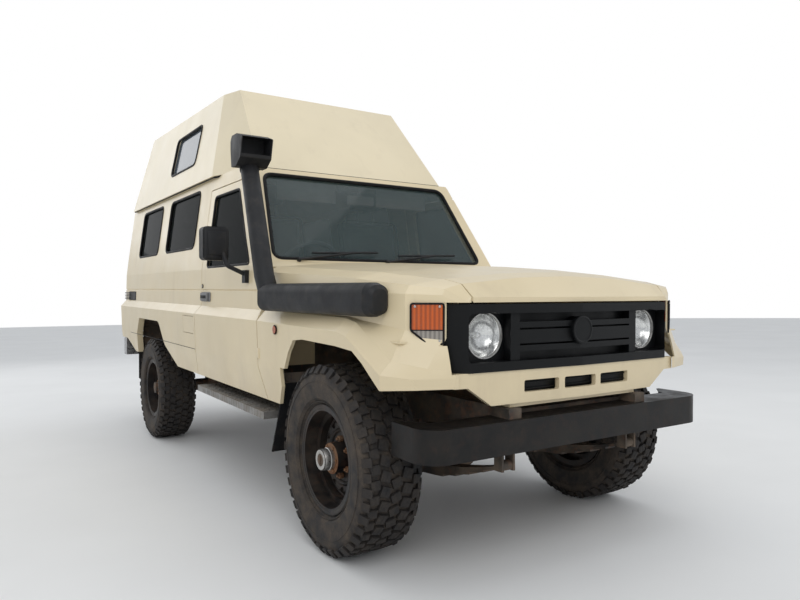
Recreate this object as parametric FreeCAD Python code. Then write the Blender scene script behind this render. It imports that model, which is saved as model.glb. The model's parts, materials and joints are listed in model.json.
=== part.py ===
import FreeCAD, Part
import math
import os

# Lifted off-road 4x4 with a raised fibreglass roof, modelled level and then set at its parked rake.
# Frame: +X is the vehicle's left, the front faces -Y, +Z is up. Lengths are in millimetres.
# Until the pieces are placed, y = 0 is the front axle and z = 0 is the floor.

V = FreeCAD.Vector
X_AXIS = V(1, 0, 0)
Y_AXIS = V(0, 1, 0)
Z_AXIS = V(0, 0, 1)
ORIGIN = V(0, 0, 0)

# Whole vehicle
wheelbase = 2980.0
rake_deg = 1.6
overrun = 60.0
panel_gap = 6.0
clear_gap = 10.0
weld_lap = 4.0

rear_overhang = 1005.0
y_body_rear = wheelbase + rear_overhang
y_door_rear = 1695.0
quarter_front_y0_share = 0.10262
quarter_front_y1_share = 0.41921
quarter_rear_y0_share = 0.52402
quarter_rear_y1_share = 0.80568
vent_y0_share = 0.81878
vent_y1_share = 0.94105
roof_window_y0_share = 0.18996
roof_window_y1_share = 0.48690
fuel_flap_y0_share = 0.01528
fuel_flap_y1_share = 0.11572
load_floor_y_share = 0.11572
muffler_y0_share = 0.02402
muffler_y1_share = 0.22052
side_long = y_body_rear - y_door_rear
rail_end_inset = 85.0
rear_arch_front_top_off = 325.0
rear_arch_front_mid_off = 480.0
rear_arch_front_low_off = 810.0
rear_arch_rear_top_off = 282.0
rear_arch_rear_low_off = 372.0
y_tail_rise_off = 500.0
y_tail_corner_off = 780.0
rail_arch_y0_off = 700.0
rail_arch_y1_off = 420.0
rear_flap_y_off = 460.0
wheelhouse_y0_off = 440.0
wheelhouse_y1_off = 450.0
tank_y0_off = 170.0
tank_y1_off = 740.0

# Wheels and tyres
tyre_radius = 382.0
tyre_width = 262.0
tyre_tread_width = 214.0
tyre_tread_depth = 13.0
tyre_wall = 22.0
tyre_shoulder_drop = 17.0
tyre_bulge_radius = 306.0
rim_radius = 220.0
rim_seat_radius = 203.0
rim_width = 203.0
rim_wall = 9.0
rim_well_radius = 178.0
rim_disc_offset = 28.0
rim_vent_radius = 15.0
rim_vent_circle = 138.0
rim_vents = 12
front_track = 1400.0
rear_track = 1384.0
hub_radius = 62.0
hub_length = 96.0
lock_radius = 42.0
lock_length = 62.0
stud_circle = 75.0
stud_radius = 10.0
stud_length = 20.0
studs = 6
drum_radius = 168.0
drum_width = 66.0
wheel_cut_clearance = 14.0

# Axles, steering and springs
front_tube_radius = 42.0
rear_tube_radius = 46.0
diff_radius = 135.0
diff_wide = 120.0
diff_x = -160.0
diff_nose = 225.0
diff_nose_radius = 40.0
diff_nose_rise = 80.0
kingpin_x = 565.0
kingpin_radius = 20.0
kingpin_play = 0.3
ball_radius = 84.0
knuckle_plate = 24.0
knuckle_gap = 8.0
knuckle_cap = 20.0
knuckle_cap_wide = 64.0
spindle_radius = 34.0
spindle_play = 0.4
spindle_end = 770.0
hub_inner_x = 696.0
disc_radius = 150.0
disc_width = 20.0
steer_arm_y = 190.0
steer_arm_drop = 15.0
steer_arm_wide = 34.0
steer_arm_thick = 18.0
tie_rod_radius = 15.0
tie_rod_drop = 8.0
tie_eye_radius = 16.0
tie_slot_gap = 18.0
joint_pin_radius = 9.0
joint_pin_play = 0.4
spring_drop = 12.0
spring_x = 345.0
spring_width = 64.0
leaf_thickness = 9.0
leaves = 5
leaf_step = 85.0
front_spring_half = 560.0
rear_spring_half = 640.0
spring_camber = 74.0
spring_eye_radius = 20.0
hanger_wide = 44.0
hanger_wall = 10.0
u_bolt_radius = 8.0
shock_radius = 27.0
shock_rod_radius = 12.0
shock_x = 262.0
front_shock_x = 312.0
shock_tube_share = 0.55
shock_eye_radius = 19.0
shock_lean = 60.0
shock_offset = 95.0

# Chassis frame
rail_x = 350.0
rail_wide = 60.0
rail_high = 125.0
rail_bottom = 512.0
rail_arch_rise = 115.0
rail_arch_y0 = wheelbase - rail_arch_y0_off
rail_arch_y1 = wheelbase - rail_arch_y1_off
rail_front = -610.0
rail_rear = y_body_rear - rail_end_inset
cross_wide = 80.0
cross_high = 80.0
tow_bore_radius = 11.1
tow_plate_thick = 19.0
tow_plate_wide = 90.0
tow_plate_reach = 150.0

# Body shell
wall = 44.0
body_half_ridge = 845.0
sill_half_share = 0.97041
seam_half_share = 0.99172
ledge_half_share = 0.94911
groove_half_share = 0.94675
belt_half_share = 0.94320
window_half_share = 0.92308
top_half_share = 0.86154
gutter_half_share = 0.85444
body_half_sill = body_half_ridge * sill_half_share
body_half_seam = body_half_ridge * seam_half_share
body_half_ledge = body_half_ridge * ledge_half_share
body_half_groove = body_half_ridge * groove_half_share
body_half_belt = body_half_ridge * belt_half_share
body_half_window = body_half_ridge * window_half_share
body_half_top = body_half_ridge * top_half_share
body_half_gutter = body_half_ridge * gutter_half_share
z_gutter = 1752.0
sill_rise_share = 0.31164
seam_rise_share = 0.39783
ridge_rise_share = 0.52283
ledge_rise_share = 0.55080
groove_rise_share = 0.60559
belt_rise_share = 0.67694
window_low_rise_share = 0.75913
window_top_rise_share = 0.97831
z_sill = z_gutter * sill_rise_share
z_seam = z_gutter * seam_rise_share
z_ridge = z_gutter * ridge_rise_share
z_ledge = z_gutter * ledge_rise_share
z_groove = z_gutter * groove_rise_share
z_belt = z_gutter * belt_rise_share
z_window_low = z_gutter * window_low_rise_share
z_window_top = z_gutter * window_top_rise_share
groove_depth = 5.0
y_cowl = 706.0
y_door_front = 658.0
y_door_toe = 574.0
floor_z = 642.0
floor_thick = 24.0
load_floor_z = 758.0
load_floor_y = y_door_rear + side_long * load_floor_y_share
door_wall = 40.0

# Doors and their windows
z_door_top = 1668.0
y_door_top_front = 1166.0
y_door_belt_front = 830.0
door_window_frame = 46.0
door_window_low = 1196.0
y_window_rear = 1600.0
door_hinge_gap = 5.0
glass_thick = 5.0
glass_inset = 12.0
handle_y = 1600.0
handle_z = 1020.0
handle_long = 120.0
handle_high = 46.0
handle_proud = 16.0

# Side windows behind the doors
quarter_front_y0 = y_door_rear + side_long * quarter_front_y0_share
quarter_front_y1 = y_door_rear + side_long * quarter_front_y1_share
quarter_rear_y0 = y_door_rear + side_long * quarter_rear_y0_share
quarter_rear_y1 = y_door_rear + side_long * quarter_rear_y1_share
window_corner = 45.0
fuel_flap_y0 = y_door_rear + side_long * fuel_flap_y0_share
fuel_flap_y1 = y_door_rear + side_long * fuel_flap_y1_share
fuel_flap_z0 = 790.0
fuel_flap_z1 = 900.0
vent_y0 = y_door_rear + side_long * vent_y0_share
vent_y1 = y_door_rear + side_long * vent_y1_share
vent_z0 = 968.0
vent_z1 = 1044.0
trim_proud = 4.0

# Wheel arches
front_arch_top = 858.0
front_arch_half_top = 250.0
front_arch_rear = 352.0
front_arch_front = 470.0
wing_toe_y = 430.0
wing_lip_z = 716.0
rear_arch_top = 832.0
rear_arch_front_top = wheelbase - rear_arch_front_top_off
rear_arch_front_mid = wheelbase - rear_arch_front_mid_off
rear_arch_front_low = wheelbase - rear_arch_front_low_off
rear_arch_mid_z = 712.0
rear_arch_rear_top = wheelbase + rear_arch_rear_top_off
rear_arch_rear_low = wheelbase + rear_arch_rear_low_off
arch_liner_thick = 6.0
y_tail_rise = wheelbase + y_tail_rise_off
z_tail_corner = 640.0
y_tail_corner = wheelbase + y_tail_corner_off

# Front wings, bonnet and nose
nose_y = -600.0
nose_bow = 10.0
wing_skin = 16.0
wing_front_y = -592.0
wing_turn_y = -545.0
flare_peak_y = -160.0
flare_turn_y = -235.0
flare_low_y = -470.0
wing_back_y = 652.0
# Wing outline as shares of the body's half width and of the ledge height, station by station:
# lip, flare edge, flare top, side foot, groove, shoulder and bonnet edge.
wing_x_share = [(0.992, 1.0, 0.949, 0.948, 0.947, 0.933, 0.870),
                (0.992, 1.0, 0.949, 0.925, 0.917, 0.900, 0.758),
                (0.992, 1.0, 0.947, 0.911, 0.908, 0.890, 0.746),
                (0.990, 0.995, 0.940, 0.870, 0.872, 0.850, 0.675),
                (0.882, 0.886, 0.820, 0.745, 0.745, 0.735, 0.652),
                (0.722, 0.722, 0.715, 0.660, 0.660, 0.655, 0.640)]
wing_z_share = [(0.742, 0.949, 1.0, 1.010, 1.099, 1.192, 1.223),
                (0.742, 0.941, 0.993, 0.998, 1.096, 1.150, 1.176),
                (0.742, 0.926, 0.979, 0.985, 1.094, 1.142, 1.168),
                (0.748, 0.803, 0.850, 0.960, 1.090, 1.122, 1.145),
                (0.752, 0.790, 0.825, 0.930, 1.085, 1.108, 1.127),
                (0.752, 0.790, 0.815, 0.930, 1.040, 1.060, 1.078)]
bonnet_rear_y = 744.0
bonnet_thick = 18.0
bonnet_crown = 34.0
bonnet_gap = 5.0
apron_x = 560.0
marker_y = 425.0
marker_z = 884.0
marker_radius = 17.0

# Grille, lamps and valance
grille_half = 615.0
grille_top = 1016.0
grille_bottom = 774.0
grille_chamfer = 30.0
grille_depth = 60.0
grille_frame = 34.0
grille_mouth_half = 548.0
crown_shoulder_share = 0.75
grille_wrap = 70.0
grille_sweep = 75.0
grille_bar_high = 22.0
grille_bar_shares = (1.0, 2.3, 1.0)
headlamp_x = 440.0
headlamp_z = 900.0
headlamp_radius = 82.0
headlamp_depth = 70.0
headlamp_inset = 14.0
headlamp_recess = 52.0
emblem_radius = 54.0
emblem_thick = 10.0
corner_lamp_z0 = 878.0
corner_lamp_z1 = 1018.0
corner_lamp_split_z = 926.0
corner_lamp_inner = 628.0
corner_lamp_inner_y = -548.0
corner_lamp_outer = 724.0
corner_lamp_outer_y = -485.0
corner_lamp_low_y = -518.0
corner_lamp_deep = 26.0
corner_lamp_round = 5.0
valance_bottom = 652.0
valance_half = 445.0
valance_kink_half = 548.0
valance_kink_z = 722.0
valance_wide = 606.0
valance_sweep = 14.0
valance_thick = 20.0
slot_half_wide = 87.0
slot_gap = 30.0
slot_bottom = 690.0
slot_high = 44.0

# Bumpers, steps and flaps
bumper_front_y = -634.0
bumper_half = 754.0
bumper_top = 600.0
bumper_high = 119.0
bumper_corner = 92.0
bumper_end_y = -412.0
bumper_deep = 130.0
bumper_side_deep = 96.0
bumper_end_deep = 16.0
bumper_low_deep = 40.0
bumper_wall = 5.0
bumper_bracket_wide = 70.0
rear_bumper_inner = 480.0
rear_bumper_high = 150.0
rear_bumper_z = 560.0
step_y0 = 545.0
step_y1 = 1600.0
step_inner = 668.0
step_outer = 852.0
step_top = 494.0
step_thick = 34.0
step_bracket = 40.0
flap_thick = 8.0
flap_y = 412.0
flap_top = 640.0
flap_low_y = 556.0
flap_bottom = 300.0
flap_inner = 560.0
flap_outer = 806.0
rear_flap_y = wheelbase + rear_flap_y_off
rear_flap_bottom = 320.0
rear_flap_top = 600.0

# Windscreen and high roof
screen_top_y = 1155.0
screen_top_z = 1716.0
screen_top_half = 612.0
screen_low_y = 832.0
screen_low_z = 1228.0
screen_low_half = 684.0
screen_frame = 40.0
pillar_wide = 52.0
screen_thick = 46.0
cowl_front_y = 752.0
cowl_z = 1196.0
roof_front_low_y = 1185.0
roof_flange = 14.0
roof_flange_wide = 90.0
roof_front_low_half = 628.0
roof_side_y = 1640.0
roof_low_half = 752.0
roof_rear_low_y_off = 5.0
roof_rear_low_y = y_body_rear + roof_rear_low_y_off
roof_rear_corner_half = 690.0
roof_rear_corner_y_off = 85.0
roof_rear_corner_y = y_body_rear - roof_rear_corner_y_off
roof_top_front_y = 1680.0
roof_top_front_half = 560.0
roof_top_side_y = 1860.0
roof_top_half = 604.0
roof_top_front_z = 2318.0
roof_top_rear_z = 2378.0
roof_top_rear_y_off = 225.0
roof_top_rear_y = y_body_rear - roof_top_rear_y_off
roof_crown_z = 30.0
roof_crown_inset = 90.0
roof_wall = 30.0
roof_window_y0 = y_door_rear + side_long * roof_window_y0_share
roof_window_y1 = y_door_rear + side_long * roof_window_y1_share
roof_window_z0 = 1905.0
roof_window_z1 = 2195.0
roof_window_lean = 60.0
roof_window_frame = 16.0

# Glass, mirrors, snorkel and wipers
mirror_half_wide = 67.0
mirror_high = 172.0
mirror_deep = 64.0
mirror_x = 941.0
mirror_y = 1005.0
mirror_z = 1300.0
mirror_arm_radius = 11.0
mirror_foot_y = 905.0
snorkel_y0 = -385.0
snorkel_y1 = 540.0
snorkel_z0 = 968.0
snorkel_high = 124.0
snorkel_proud = 104.0
snorkel_skew = 68.0
snorkel_round = 40.0
snorkel_end_share = 0.62
snorkel_mid_share = 0.86
snorkel_knee_y = 474.0
snorkel_knee_rise = 100.0
snorkel_bend_y = 540.0
snorkel_riser_radius = 46.0
snorkel_head_z = 1700.0
snorkel_head_y = 915.0
snorkel_head_x = 785.0
snorkel_head_wide = 165.0
snorkel_head_deep = 190.0
snorkel_head_high = 150.0
snorkel_head_lip = 70.0
snorkel_clamp_width = 26.0
wiper_blade_half = 250.0
wiper_radius = 6.0

# Tail, rear doors and spare wheel
tail_thick = 40.0
tail_door_low = 690.0
tail_door_top = 1700.0
tail_door_half_low = 700.0
tail_door_half_top = 646.0
tail_split_x = 120.0
tail_gap = 6.0
tail_window_low = 1330.0
tail_window_top = 1640.0
tail_frame = 80.0
tail_hinge_out = 4.0
tail_lamp_x0 = 722.0
tail_lamp_x1 = 782.0
tail_lamp_z0 = 790.0
tail_lamp_z1 = 1010.0
tail_lamp_deep = 22.0
plate_x = 430.0
plate_z = 840.0
plate_wide = 360.0
plate_high = 110.0
spare_x = -290.0
spare_z = 1015.0
spare_gap = 18.0
spare_mount_radius = 70.0

# Floor, seats and controls
floor_half = 772.0
sill_wide = 60.0
wheelhouse_top = 880.0
wheelhouse_in = 530.0
wheelhouse_y0 = wheelbase - wheelhouse_y0_off
wheelhouse_y1 = wheelbase + wheelhouse_y1_off
seat_x = 370.0
seat_wide = 500.0
seat_y0 = 1210.0
seat_y1 = 1680.0
seat_base_z = 880.0
seat_cushion = 130.0
seat_back_high = 560.0
seat_back_thick = 120.0
seat_back_lean = 110.0
seat_foot_inset = 60.0
head_wide = 250.0
head_high = 150.0
head_thick = 80.0
head_lift = 40.0
dash_y0 = 792.0
dash_y1 = 1000.0
dash_z0 = 880.0
dash_z1 = 1190.0
dash_brow = 90.0
wheel_x = -370.0
wheel_y = 1090.0
wheel_z = 1165.0
wheel_grip_radius = 190.0
wheel_grip_section = 13.0
wheel_lean_deg = 32.0
wheel_boss_radius = 52.0
wheel_spokes = 3
column_radius = 26.0

# Running gear hung from the frame
engine_wide = 440.0
engine_y0 = -330.0
engine_y1 = 430.0
engine_z0 = 520.0
engine_z1 = 930.0
gearbox_wide = 236.0
gearbox_y1 = 1150.0
gearbox_z0 = 400.0
gearbox_z1 = 628.0
prop_radius = 28.0
prop_front_z = 470.0
prop_rear_z = 470.0
tank_half = 300.0
tank_y0 = wheelbase + tank_y0_off
tank_y1 = wheelbase + tank_y1_off
tank_z0 = 450.0
tank_z1 = 620.0
tank_corner = 50.0
pipe_radius = 25.0
pipe_bend = 90.0
muffler_radius = 78.0
muffler_y0 = y_door_rear + side_long * muffler_y0_share
muffler_y1 = y_door_rear + side_long * muffler_y1_share
pipe_x = 205.0
pipe_z = 452.0
pipe_tail_x = 470.0
pipe_tail_y = 3960.0

half_front_track = front_track / 2
half_rear_track = rear_track / 2
axle_z = tyre_radius


# Helpers
def block(x0, x1, y0, y1, z0, z1):
    low = V(min(x0, x1), min(y0, y1), min(z0, z1))
    return Part.makeBox(abs(x1 - x0), abs(y1 - y0), abs(z1 - z0), low)


def face_of(points):
    return Part.Face(Part.makePolygon(points + [points[0]]))


def along_x(points, x0, x1):
    """A (y, z) outline, filled from x0 to x1."""
    return face_of([V(x0, y, z) for y, z in points]).extrude(V(x1 - x0, 0, 0))


def along_y(points, y0, y1):
    """An (x, z) outline, filled from y0 to y1."""
    return face_of([V(x, y0, z) for x, z in points]).extrude(V(0, y1 - y0, 0))


def along_z(points, z0, z1):
    """An (x, y) outline, filled from z0 to z1."""
    return face_of([V(x, y, z0) for x, y in points]).extrude(V(0, 0, z1 - z0))


def disc_x(y, z, radius, x0, x1):
    return Part.makeCylinder(radius, abs(x1 - x0), V(min(x0, x1), y, z), X_AXIS)


def rod(start, end, radius):
    return Part.makeCylinder(radius, (end - start).Length, start, end - start)


def turned_x(profile, x, y, z):
    """A closed (x, radius) profile turned about the X line through (y, z)."""
    face = face_of([V(x + along, y, z + radius) for along, radius in profile])
    return face.revolve(V(x, y, z), X_AXIS, 360)


def mirrored(shape):
    return shape.mirror(ORIGIN, X_AXIS)


def fused(shapes):
    result = shapes[0]
    if len(shapes) > 1:
        result = shapes[0].fuse(shapes[1:])
    return result.removeSplitter()


def both(shape):
    return fused([shape, mirrored(shape)])


def pair(shape):
    """A shape and its mirror image as separate solids."""
    return together([shape, mirrored(shape)])


def together(shapes):
    """One compound of all the solids in the shapes."""
    solids = []
    for shape in shapes:
        solids.extend(shape.Solids)
    return Part.makeCompound(solids)


def rounded_points(points, radius):
    """Edges of a closed planar outline with each corner rounded to the same radius."""
    count = len(points)
    corners = []
    for index in range(count):
        before = points[index - 1]
        here = points[index]
        after = points[(index + 1) % count]
        to_before = (before - here).normalize()
        to_after = (after - here).normalize()
        half = to_before.getAngle(to_after) / 2
        reach = radius / math.tan(half)
        middle = (to_before + to_after).normalize()
        centre = here + middle * (radius / math.sin(half))
        start = here + to_before * reach
        end = here + to_after * reach
        corners.append((start, centre - middle * radius, end))
    edges = []
    for index in range(count):
        start, mid, end = corners[index]
        edges.append(Part.Arc(start, mid, end).toShape())
        edges.append(Part.LineSegment(end, corners[(index + 1) % count][0]).toShape())
    return Part.Wire(Part.__sortEdges__(edges))


def rounded_along_x(points, radius, x0, x1):
    wire = rounded_points([V(x0, y, z) for y, z in points], radius)
    return Part.Face(wire).extrude(V(x1 - x0, 0, 0))


def rounded_along_y(points, radius, y0, y1):
    wire = rounded_points([V(x, y0, z) for x, z in points], radius)
    return Part.Face(wire).extrude(V(0, y1 - y0, 0))


def rounded_along_z(points, radius, z0, z1):
    wire = rounded_points([V(x, y, z0) for x, y in points], radius)
    return Part.Face(wire).extrude(V(0, 0, z1 - z0))


def rectangle(a0, a1, b0, b1):
    return [(a0, b0), (a1, b0), (a1, b1), (a0, b1)]


def bent_path(points, bend):
    """Straight runs through the points, joined by arcs of the bend radius."""
    edges = []
    last = points[0]
    for index in range(1, len(points) - 1):
        here = points[index]
        back = (points[index - 1] - here).normalize()
        ahead = (points[index + 1] - here).normalize()
        half = back.getAngle(ahead) / 2
        reach = bend / math.tan(half)
        middle = (back + ahead).normalize()
        centre = here + middle * (bend / math.sin(half))
        start = here + back * reach
        edges.append(Part.LineSegment(last, start).toShape())
        edges.append(Part.Arc(start, centre - middle * bend, here + ahead * reach).toShape())
        last = here + ahead * reach
    edges.append(Part.LineSegment(last, points[-1]).toShape())
    return Part.Wire(edges)


def bent_tube(points, radius, bend):
    """A round bar or pipe along straight runs and arcs."""
    path = bent_path(points, bend)
    ring = Part.Wire(Part.makeCircle(radius, points[0], points[1] - points[0]))
    return path.makePipeShell([ring], True, False)


# Wheels
def tyre_profile():
    """Closed (x, radius) section of the hollow tyre, from the outer bead over the tread."""
    bead = rim_width / 2 - rim_wall
    bulge = tyre_width / 2
    tread = tyre_tread_width / 2
    shoulder = (tread + bulge) / 2
    outer = [(bead, rim_seat_radius), (bead, rim_radius), (bulge - tyre_wall / 2, rim_radius + tyre_wall),
             (bulge, tyre_bulge_radius), (shoulder, tyre_radius - 2 * tyre_shoulder_drop),
             (tread, tyre_radius - tyre_shoulder_drop / 3), (tread - tyre_wall, tyre_radius)]
    inner = [(tread - tyre_wall, tyre_radius - tyre_wall - tyre_tread_depth),
             (bulge - tyre_wall, tyre_bulge_radius), (bead - tyre_wall, rim_radius),
             (bead - tyre_wall, rim_seat_radius)]
    left_outer = [(-x, r) for x, r in reversed(outer)]
    left_inner = [(-x, r) for x, r in reversed(inner)]
    return outer + left_outer + left_inner + inner


def tyre(x, y, z):
    return turned_x(tyre_profile(), x, y, z)


def rim_profile(out):
    """Closed (x, radius) section of the wheel's barrel; out is +1 for a left wheel."""
    half = rim_width / 2
    flange = rim_wall
    well = half / 3
    top = [(-half, rim_radius), (-half + flange, rim_radius), (-half + flange, rim_seat_radius),
           (-well, rim_seat_radius), (-well, rim_well_radius), (well, rim_well_radius),
           (well, rim_seat_radius), (half - flange, rim_seat_radius), (half - flange, rim_radius),
           (half, rim_radius)]
    low = [(half, rim_seat_radius - rim_wall), (well + rim_wall, rim_seat_radius - rim_wall),
           (well + rim_wall, rim_well_radius - rim_wall), (-well - rim_wall, rim_well_radius - rim_wall),
           (-well - rim_wall, rim_seat_radius - rim_wall), (-half, rim_seat_radius - rim_wall)]
    return [(out * x, r) for x, r in top + low]


def rim_disc_profile(out):
    """Closed section of the dished disc that joins the barrel to the hub."""
    edge = rim_well_radius - rim_wall + weld_lap
    crown = rim_vent_circle
    seat = stud_circle + stud_radius * 2
    face = rim_disc_offset
    deep = face - rim_wall * 3
    points = [(deep, edge), (face, crown), (face - rim_wall, seat), (face - rim_wall, hub_radius - weld_lap),
              (face - rim_wall * 2, hub_radius - weld_lap), (face - rim_wall * 2, seat),
              (face - rim_wall, crown - rim_wall), (deep - rim_wall, edge)]
    return [(out * x, r) for x, r in points]


def around(shape, count, x_line_y, x_line_z):
    """Copies of a shape spaced evenly about the X line through (y, z)."""
    copies = []
    for index in range(count):
        copy = shape.copy()
        copy.rotate(V(0, x_line_y, x_line_z), X_AXIS, index * 360 / count)
        copies.append(copy)
    return copies


def wheel_rim(x, y, z, out, lock_reach, bore):
    """Steel rim with its hub; lock_reach is how far the hub's nose stands out of the disc."""
    barrel = turned_x(rim_profile(out), x, y, z)
    disc = turned_x(rim_disc_profile(out), x, y, z)
    face_x = x + out * rim_disc_offset
    vent = disc_x(y, z + rim_vent_circle, rim_vent_radius, face_x - out * overrun, face_x + out * overrun)
    disc = disc.cut(Part.makeCompound(around(vent, rim_vents, y, z)))
    stud = disc_x(y, z + stud_circle, stud_radius, face_x - out * rim_wall * 2, face_x + out * stud_length / 2)
    hub_in = out * hub_inner_x
    nose = face_x + out * lock_reach
    hub = disc_x(y, z, hub_radius, hub_in, face_x + out * lock_reach / 2)
    lock = disc_x(y, z, lock_radius, face_x, nose)
    rotor = disc_x(y, z, disc_radius, hub_in, hub_in + out * disc_width)
    body = fused([barrel, disc, hub, lock, rotor] + around(stud, studs, y, z))
    inner_end = out * (hub_inner_x - overrun)
    bore_end = out * (spindle_end + clear_gap)
    return body.cut(disc_x(y, z, bore + spindle_play, inner_end, bore_end))


# Front axle and steering
def knuckle(out):
    """Steering knuckle outside the axle's ball: two caps, a plate, the spindle and the arm."""
    pin_x = out * kingpin_x
    plate_in = ball_radius + knuckle_gap
    plate_x = pin_x + out * plate_in
    cap_z = ball_radius + knuckle_gap
    half = knuckle_cap_wide / 2
    top = cap_z + knuckle_cap
    plate = block(plate_x, plate_x + out * knuckle_plate, -half * 2, half * 2, axle_z - top, axle_z + top)
    upper = block(pin_x - out * half, plate_x + out * weld_lap, -half, half, axle_z + cap_z, axle_z + top)
    lower = block(pin_x - out * half, plate_x + out * weld_lap, -half, half, axle_z - top, axle_z - cap_z)
    pin = Part.makeCylinder(kingpin_radius - kingpin_play, top * 2, V(pin_x, 0, axle_z - top))
    core = Part.makeCylinder(kingpin_radius * 2, 2 * (ball_radius - kingpin_radius),
                             V(pin_x, 0, axle_z - ball_radius + kingpin_radius))
    pin = pin.cut(core)
    spindle = disc_x(0, axle_z, spindle_radius, plate_x, out * spindle_end)
    arm_z = axle_z - steer_arm_drop
    arm_low = arm_z - steer_arm_thick / 2
    arm_high = arm_z + steer_arm_thick / 2
    reach = steer_arm_y + steer_arm_wide / 2
    arm_half = steer_arm_wide / 2
    arm = block(pin_x - arm_half, pin_x + arm_half, plate_in, reach, arm_low, arm_high)
    web = block(pin_x - arm_half, plate_x + out * knuckle_plate, plate_in, plate_in + knuckle_plate,
                arm_low - steer_arm_thick, arm_high + steer_arm_thick)
    web = web.fuse(block(pin_x + out * arm_half, plate_x + out * knuckle_plate, half, plate_in + weld_lap,
                         arm_low - steer_arm_thick, arm_high + steer_arm_thick))
    ball = Part.makeSphere(plate_in, V(pin_x, 0, axle_z))
    ends = [plate, upper, lower, spindle, arm, web.cut(ball)]
    body = fused(ends + list(pin.Solids))
    eye = Part.makeCylinder(joint_pin_radius, overrun, V(pin_x, steer_arm_y, arm_z - overrun / 2))
    return body.cut(eye)


def front_axle():
    """Front axle tube with its ball ends, differential housing and pinion nose."""
    tube = disc_x(0, axle_z, front_tube_radius, -kingpin_x, kingpin_x)
    balls = []
    for side in (-1, 1):
        ball = Part.makeSphere(ball_radius, V(side * kingpin_x, 0, axle_z))
        bore = Part.makeCylinder(kingpin_radius, ball_radius * 2, V(side * kingpin_x, 0, axle_z - ball_radius))
        keep = Part.makeCylinder(kingpin_radius * 2, 2 * (ball_radius - kingpin_radius * 2),
                                 V(side * kingpin_x, 0, axle_z - ball_radius + kingpin_radius * 2))
        balls.append(ball.cut(bore.cut(keep)))
    housing = Part.makeSphere(diff_radius, V(diff_x, 0, axle_z))
    slab = block(diff_x - diff_wide, diff_x + diff_wide, -diff_radius, diff_radius,
                 axle_z - diff_radius, axle_z + diff_radius)
    nose_z = axle_z + diff_nose_rise
    nose = rod(V(diff_x, 0, nose_z), V(diff_x, diff_nose, nose_z), diff_nose_radius)
    pads = []
    for side in (-1, 1):
        half = spring_width / 2
        pads.append(block(side * spring_x - half, side * spring_x + half, -front_tube_radius,
                          front_tube_radius, axle_z - front_tube_radius - spring_drop, axle_z))
    return fused([tube, housing.common(slab), nose] + balls + pads)


def rear_axle():
    """Rear axle tube with its differential housing, pinion nose, pads and stub ends."""
    tube = disc_x(wheelbase, axle_z, rear_tube_radius, -hub_inner_x + clear_gap, hub_inner_x - clear_gap)
    stubs = disc_x(wheelbase, axle_z, spindle_radius, -spindle_end, spindle_end)
    housing = Part.makeSphere(diff_radius, V(0, wheelbase, axle_z))
    slab = block(-diff_wide, diff_wide, wheelbase - diff_radius, wheelbase + diff_radius,
                 axle_z - diff_radius, axle_z + diff_radius)
    nose = rod(V(0, wheelbase, axle_z), V(0, wheelbase - diff_nose, axle_z), diff_nose_radius)
    half = spring_width / 2
    pads = []
    for side in (-1, 1):
        pads.append(block(side * spring_x - half, side * spring_x + half, wheelbase - rear_tube_radius,
                          wheelbase + rear_tube_radius, axle_z, axle_z + rear_tube_radius + spring_drop))
    return fused([tube, stubs, housing.common(slab), nose] + pads)


def tie_rod():
    """Rod behind the axle between the two steering arms, with an eye and pin at each end."""
    rod_z = axle_z - steer_arm_drop
    gap = steer_arm_wide / 2 + tie_slot_gap
    bar = disc_x(steer_arm_y, rod_z, tie_rod_radius, -kingpin_x + gap, kingpin_x - gap)
    parts = [bar]
    fork_half = steer_arm_thick / 2 + clear_gap / 2
    for side in (-1, 1):
        pin_x = side * kingpin_x
        for sign in (-1, 1):
            low = rod_z + sign * fork_half
            high = rod_z + sign * (fork_half + steer_arm_thick / 2)
            parts.append(block(pin_x - side * tie_eye_radius, pin_x + side * tie_eye_radius,
                               steer_arm_y - tie_eye_radius, steer_arm_y + tie_eye_radius, low, high))
            parts.append(block(pin_x - side * tie_eye_radius, pin_x - side * (gap + tie_eye_radius),
                               steer_arm_y - tie_rod_radius, steer_arm_y + tie_rod_radius,
                               rod_z, high))
        tall = 2 * fork_half
        parts.append(Part.makeCylinder(joint_pin_radius - joint_pin_play, tall,
                                       V(pin_x, steer_arm_y, rod_z - fork_half)))
    clear = []
    for side in (-1, 1):
        pin_x = side * kingpin_x
        slot = block(pin_x - side * gap, pin_x + side * gap, steer_arm_y - gap, steer_arm_y + gap,
                     rod_z - fork_half, rod_z + fork_half)
        pin = Part.makeCylinder(joint_pin_radius - joint_pin_play, 2 * fork_half,
                                V(pin_x, steer_arm_y, rod_z - fork_half))
        clear.append(slot.cut(pin))
    return fused(parts).cut(Part.makeCompound(clear)).removeSplitter()


def seated(shape, *carriers):
    """A piece trimmed where it would enter the pieces that carry it, so that they only touch."""
    for carrier in carriers:
        shape = shape.cut(carrier)
    return shape


# Springs, dampers and chassis frame
def raked(shape):
    """Set a piece of the sprung body at the parked rake."""
    shape = shape.copy()
    shape.rotate(ORIGIN, X_AXIS, rake_deg)
    return shape


def raked_z(y, z):
    """Height above the floor of a body point after the rake."""
    turn = math.radians(rake_deg)
    return y * math.sin(turn) + z * math.cos(turn)


def leaf(x, y, low, half, rise, thick):
    """One leaf whose middle is lowest at z = low and whose tips rise by the camber."""
    radius = (half * half + rise * rise) / (2 * rise)
    x0 = x - spring_width / 2
    outer = disc_x(y, low + radius, radius, x0, x0 + spring_width)
    inner = disc_x(y, low + radius, radius - thick, x0 - overrun, x0 + spring_width + overrun)
    window = block(x0 - overrun, x0 + spring_width + overrun, y - half, y + half, low - overrun,
                   low + rise + overrun)
    return outer.cut(inner).common(window)


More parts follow.
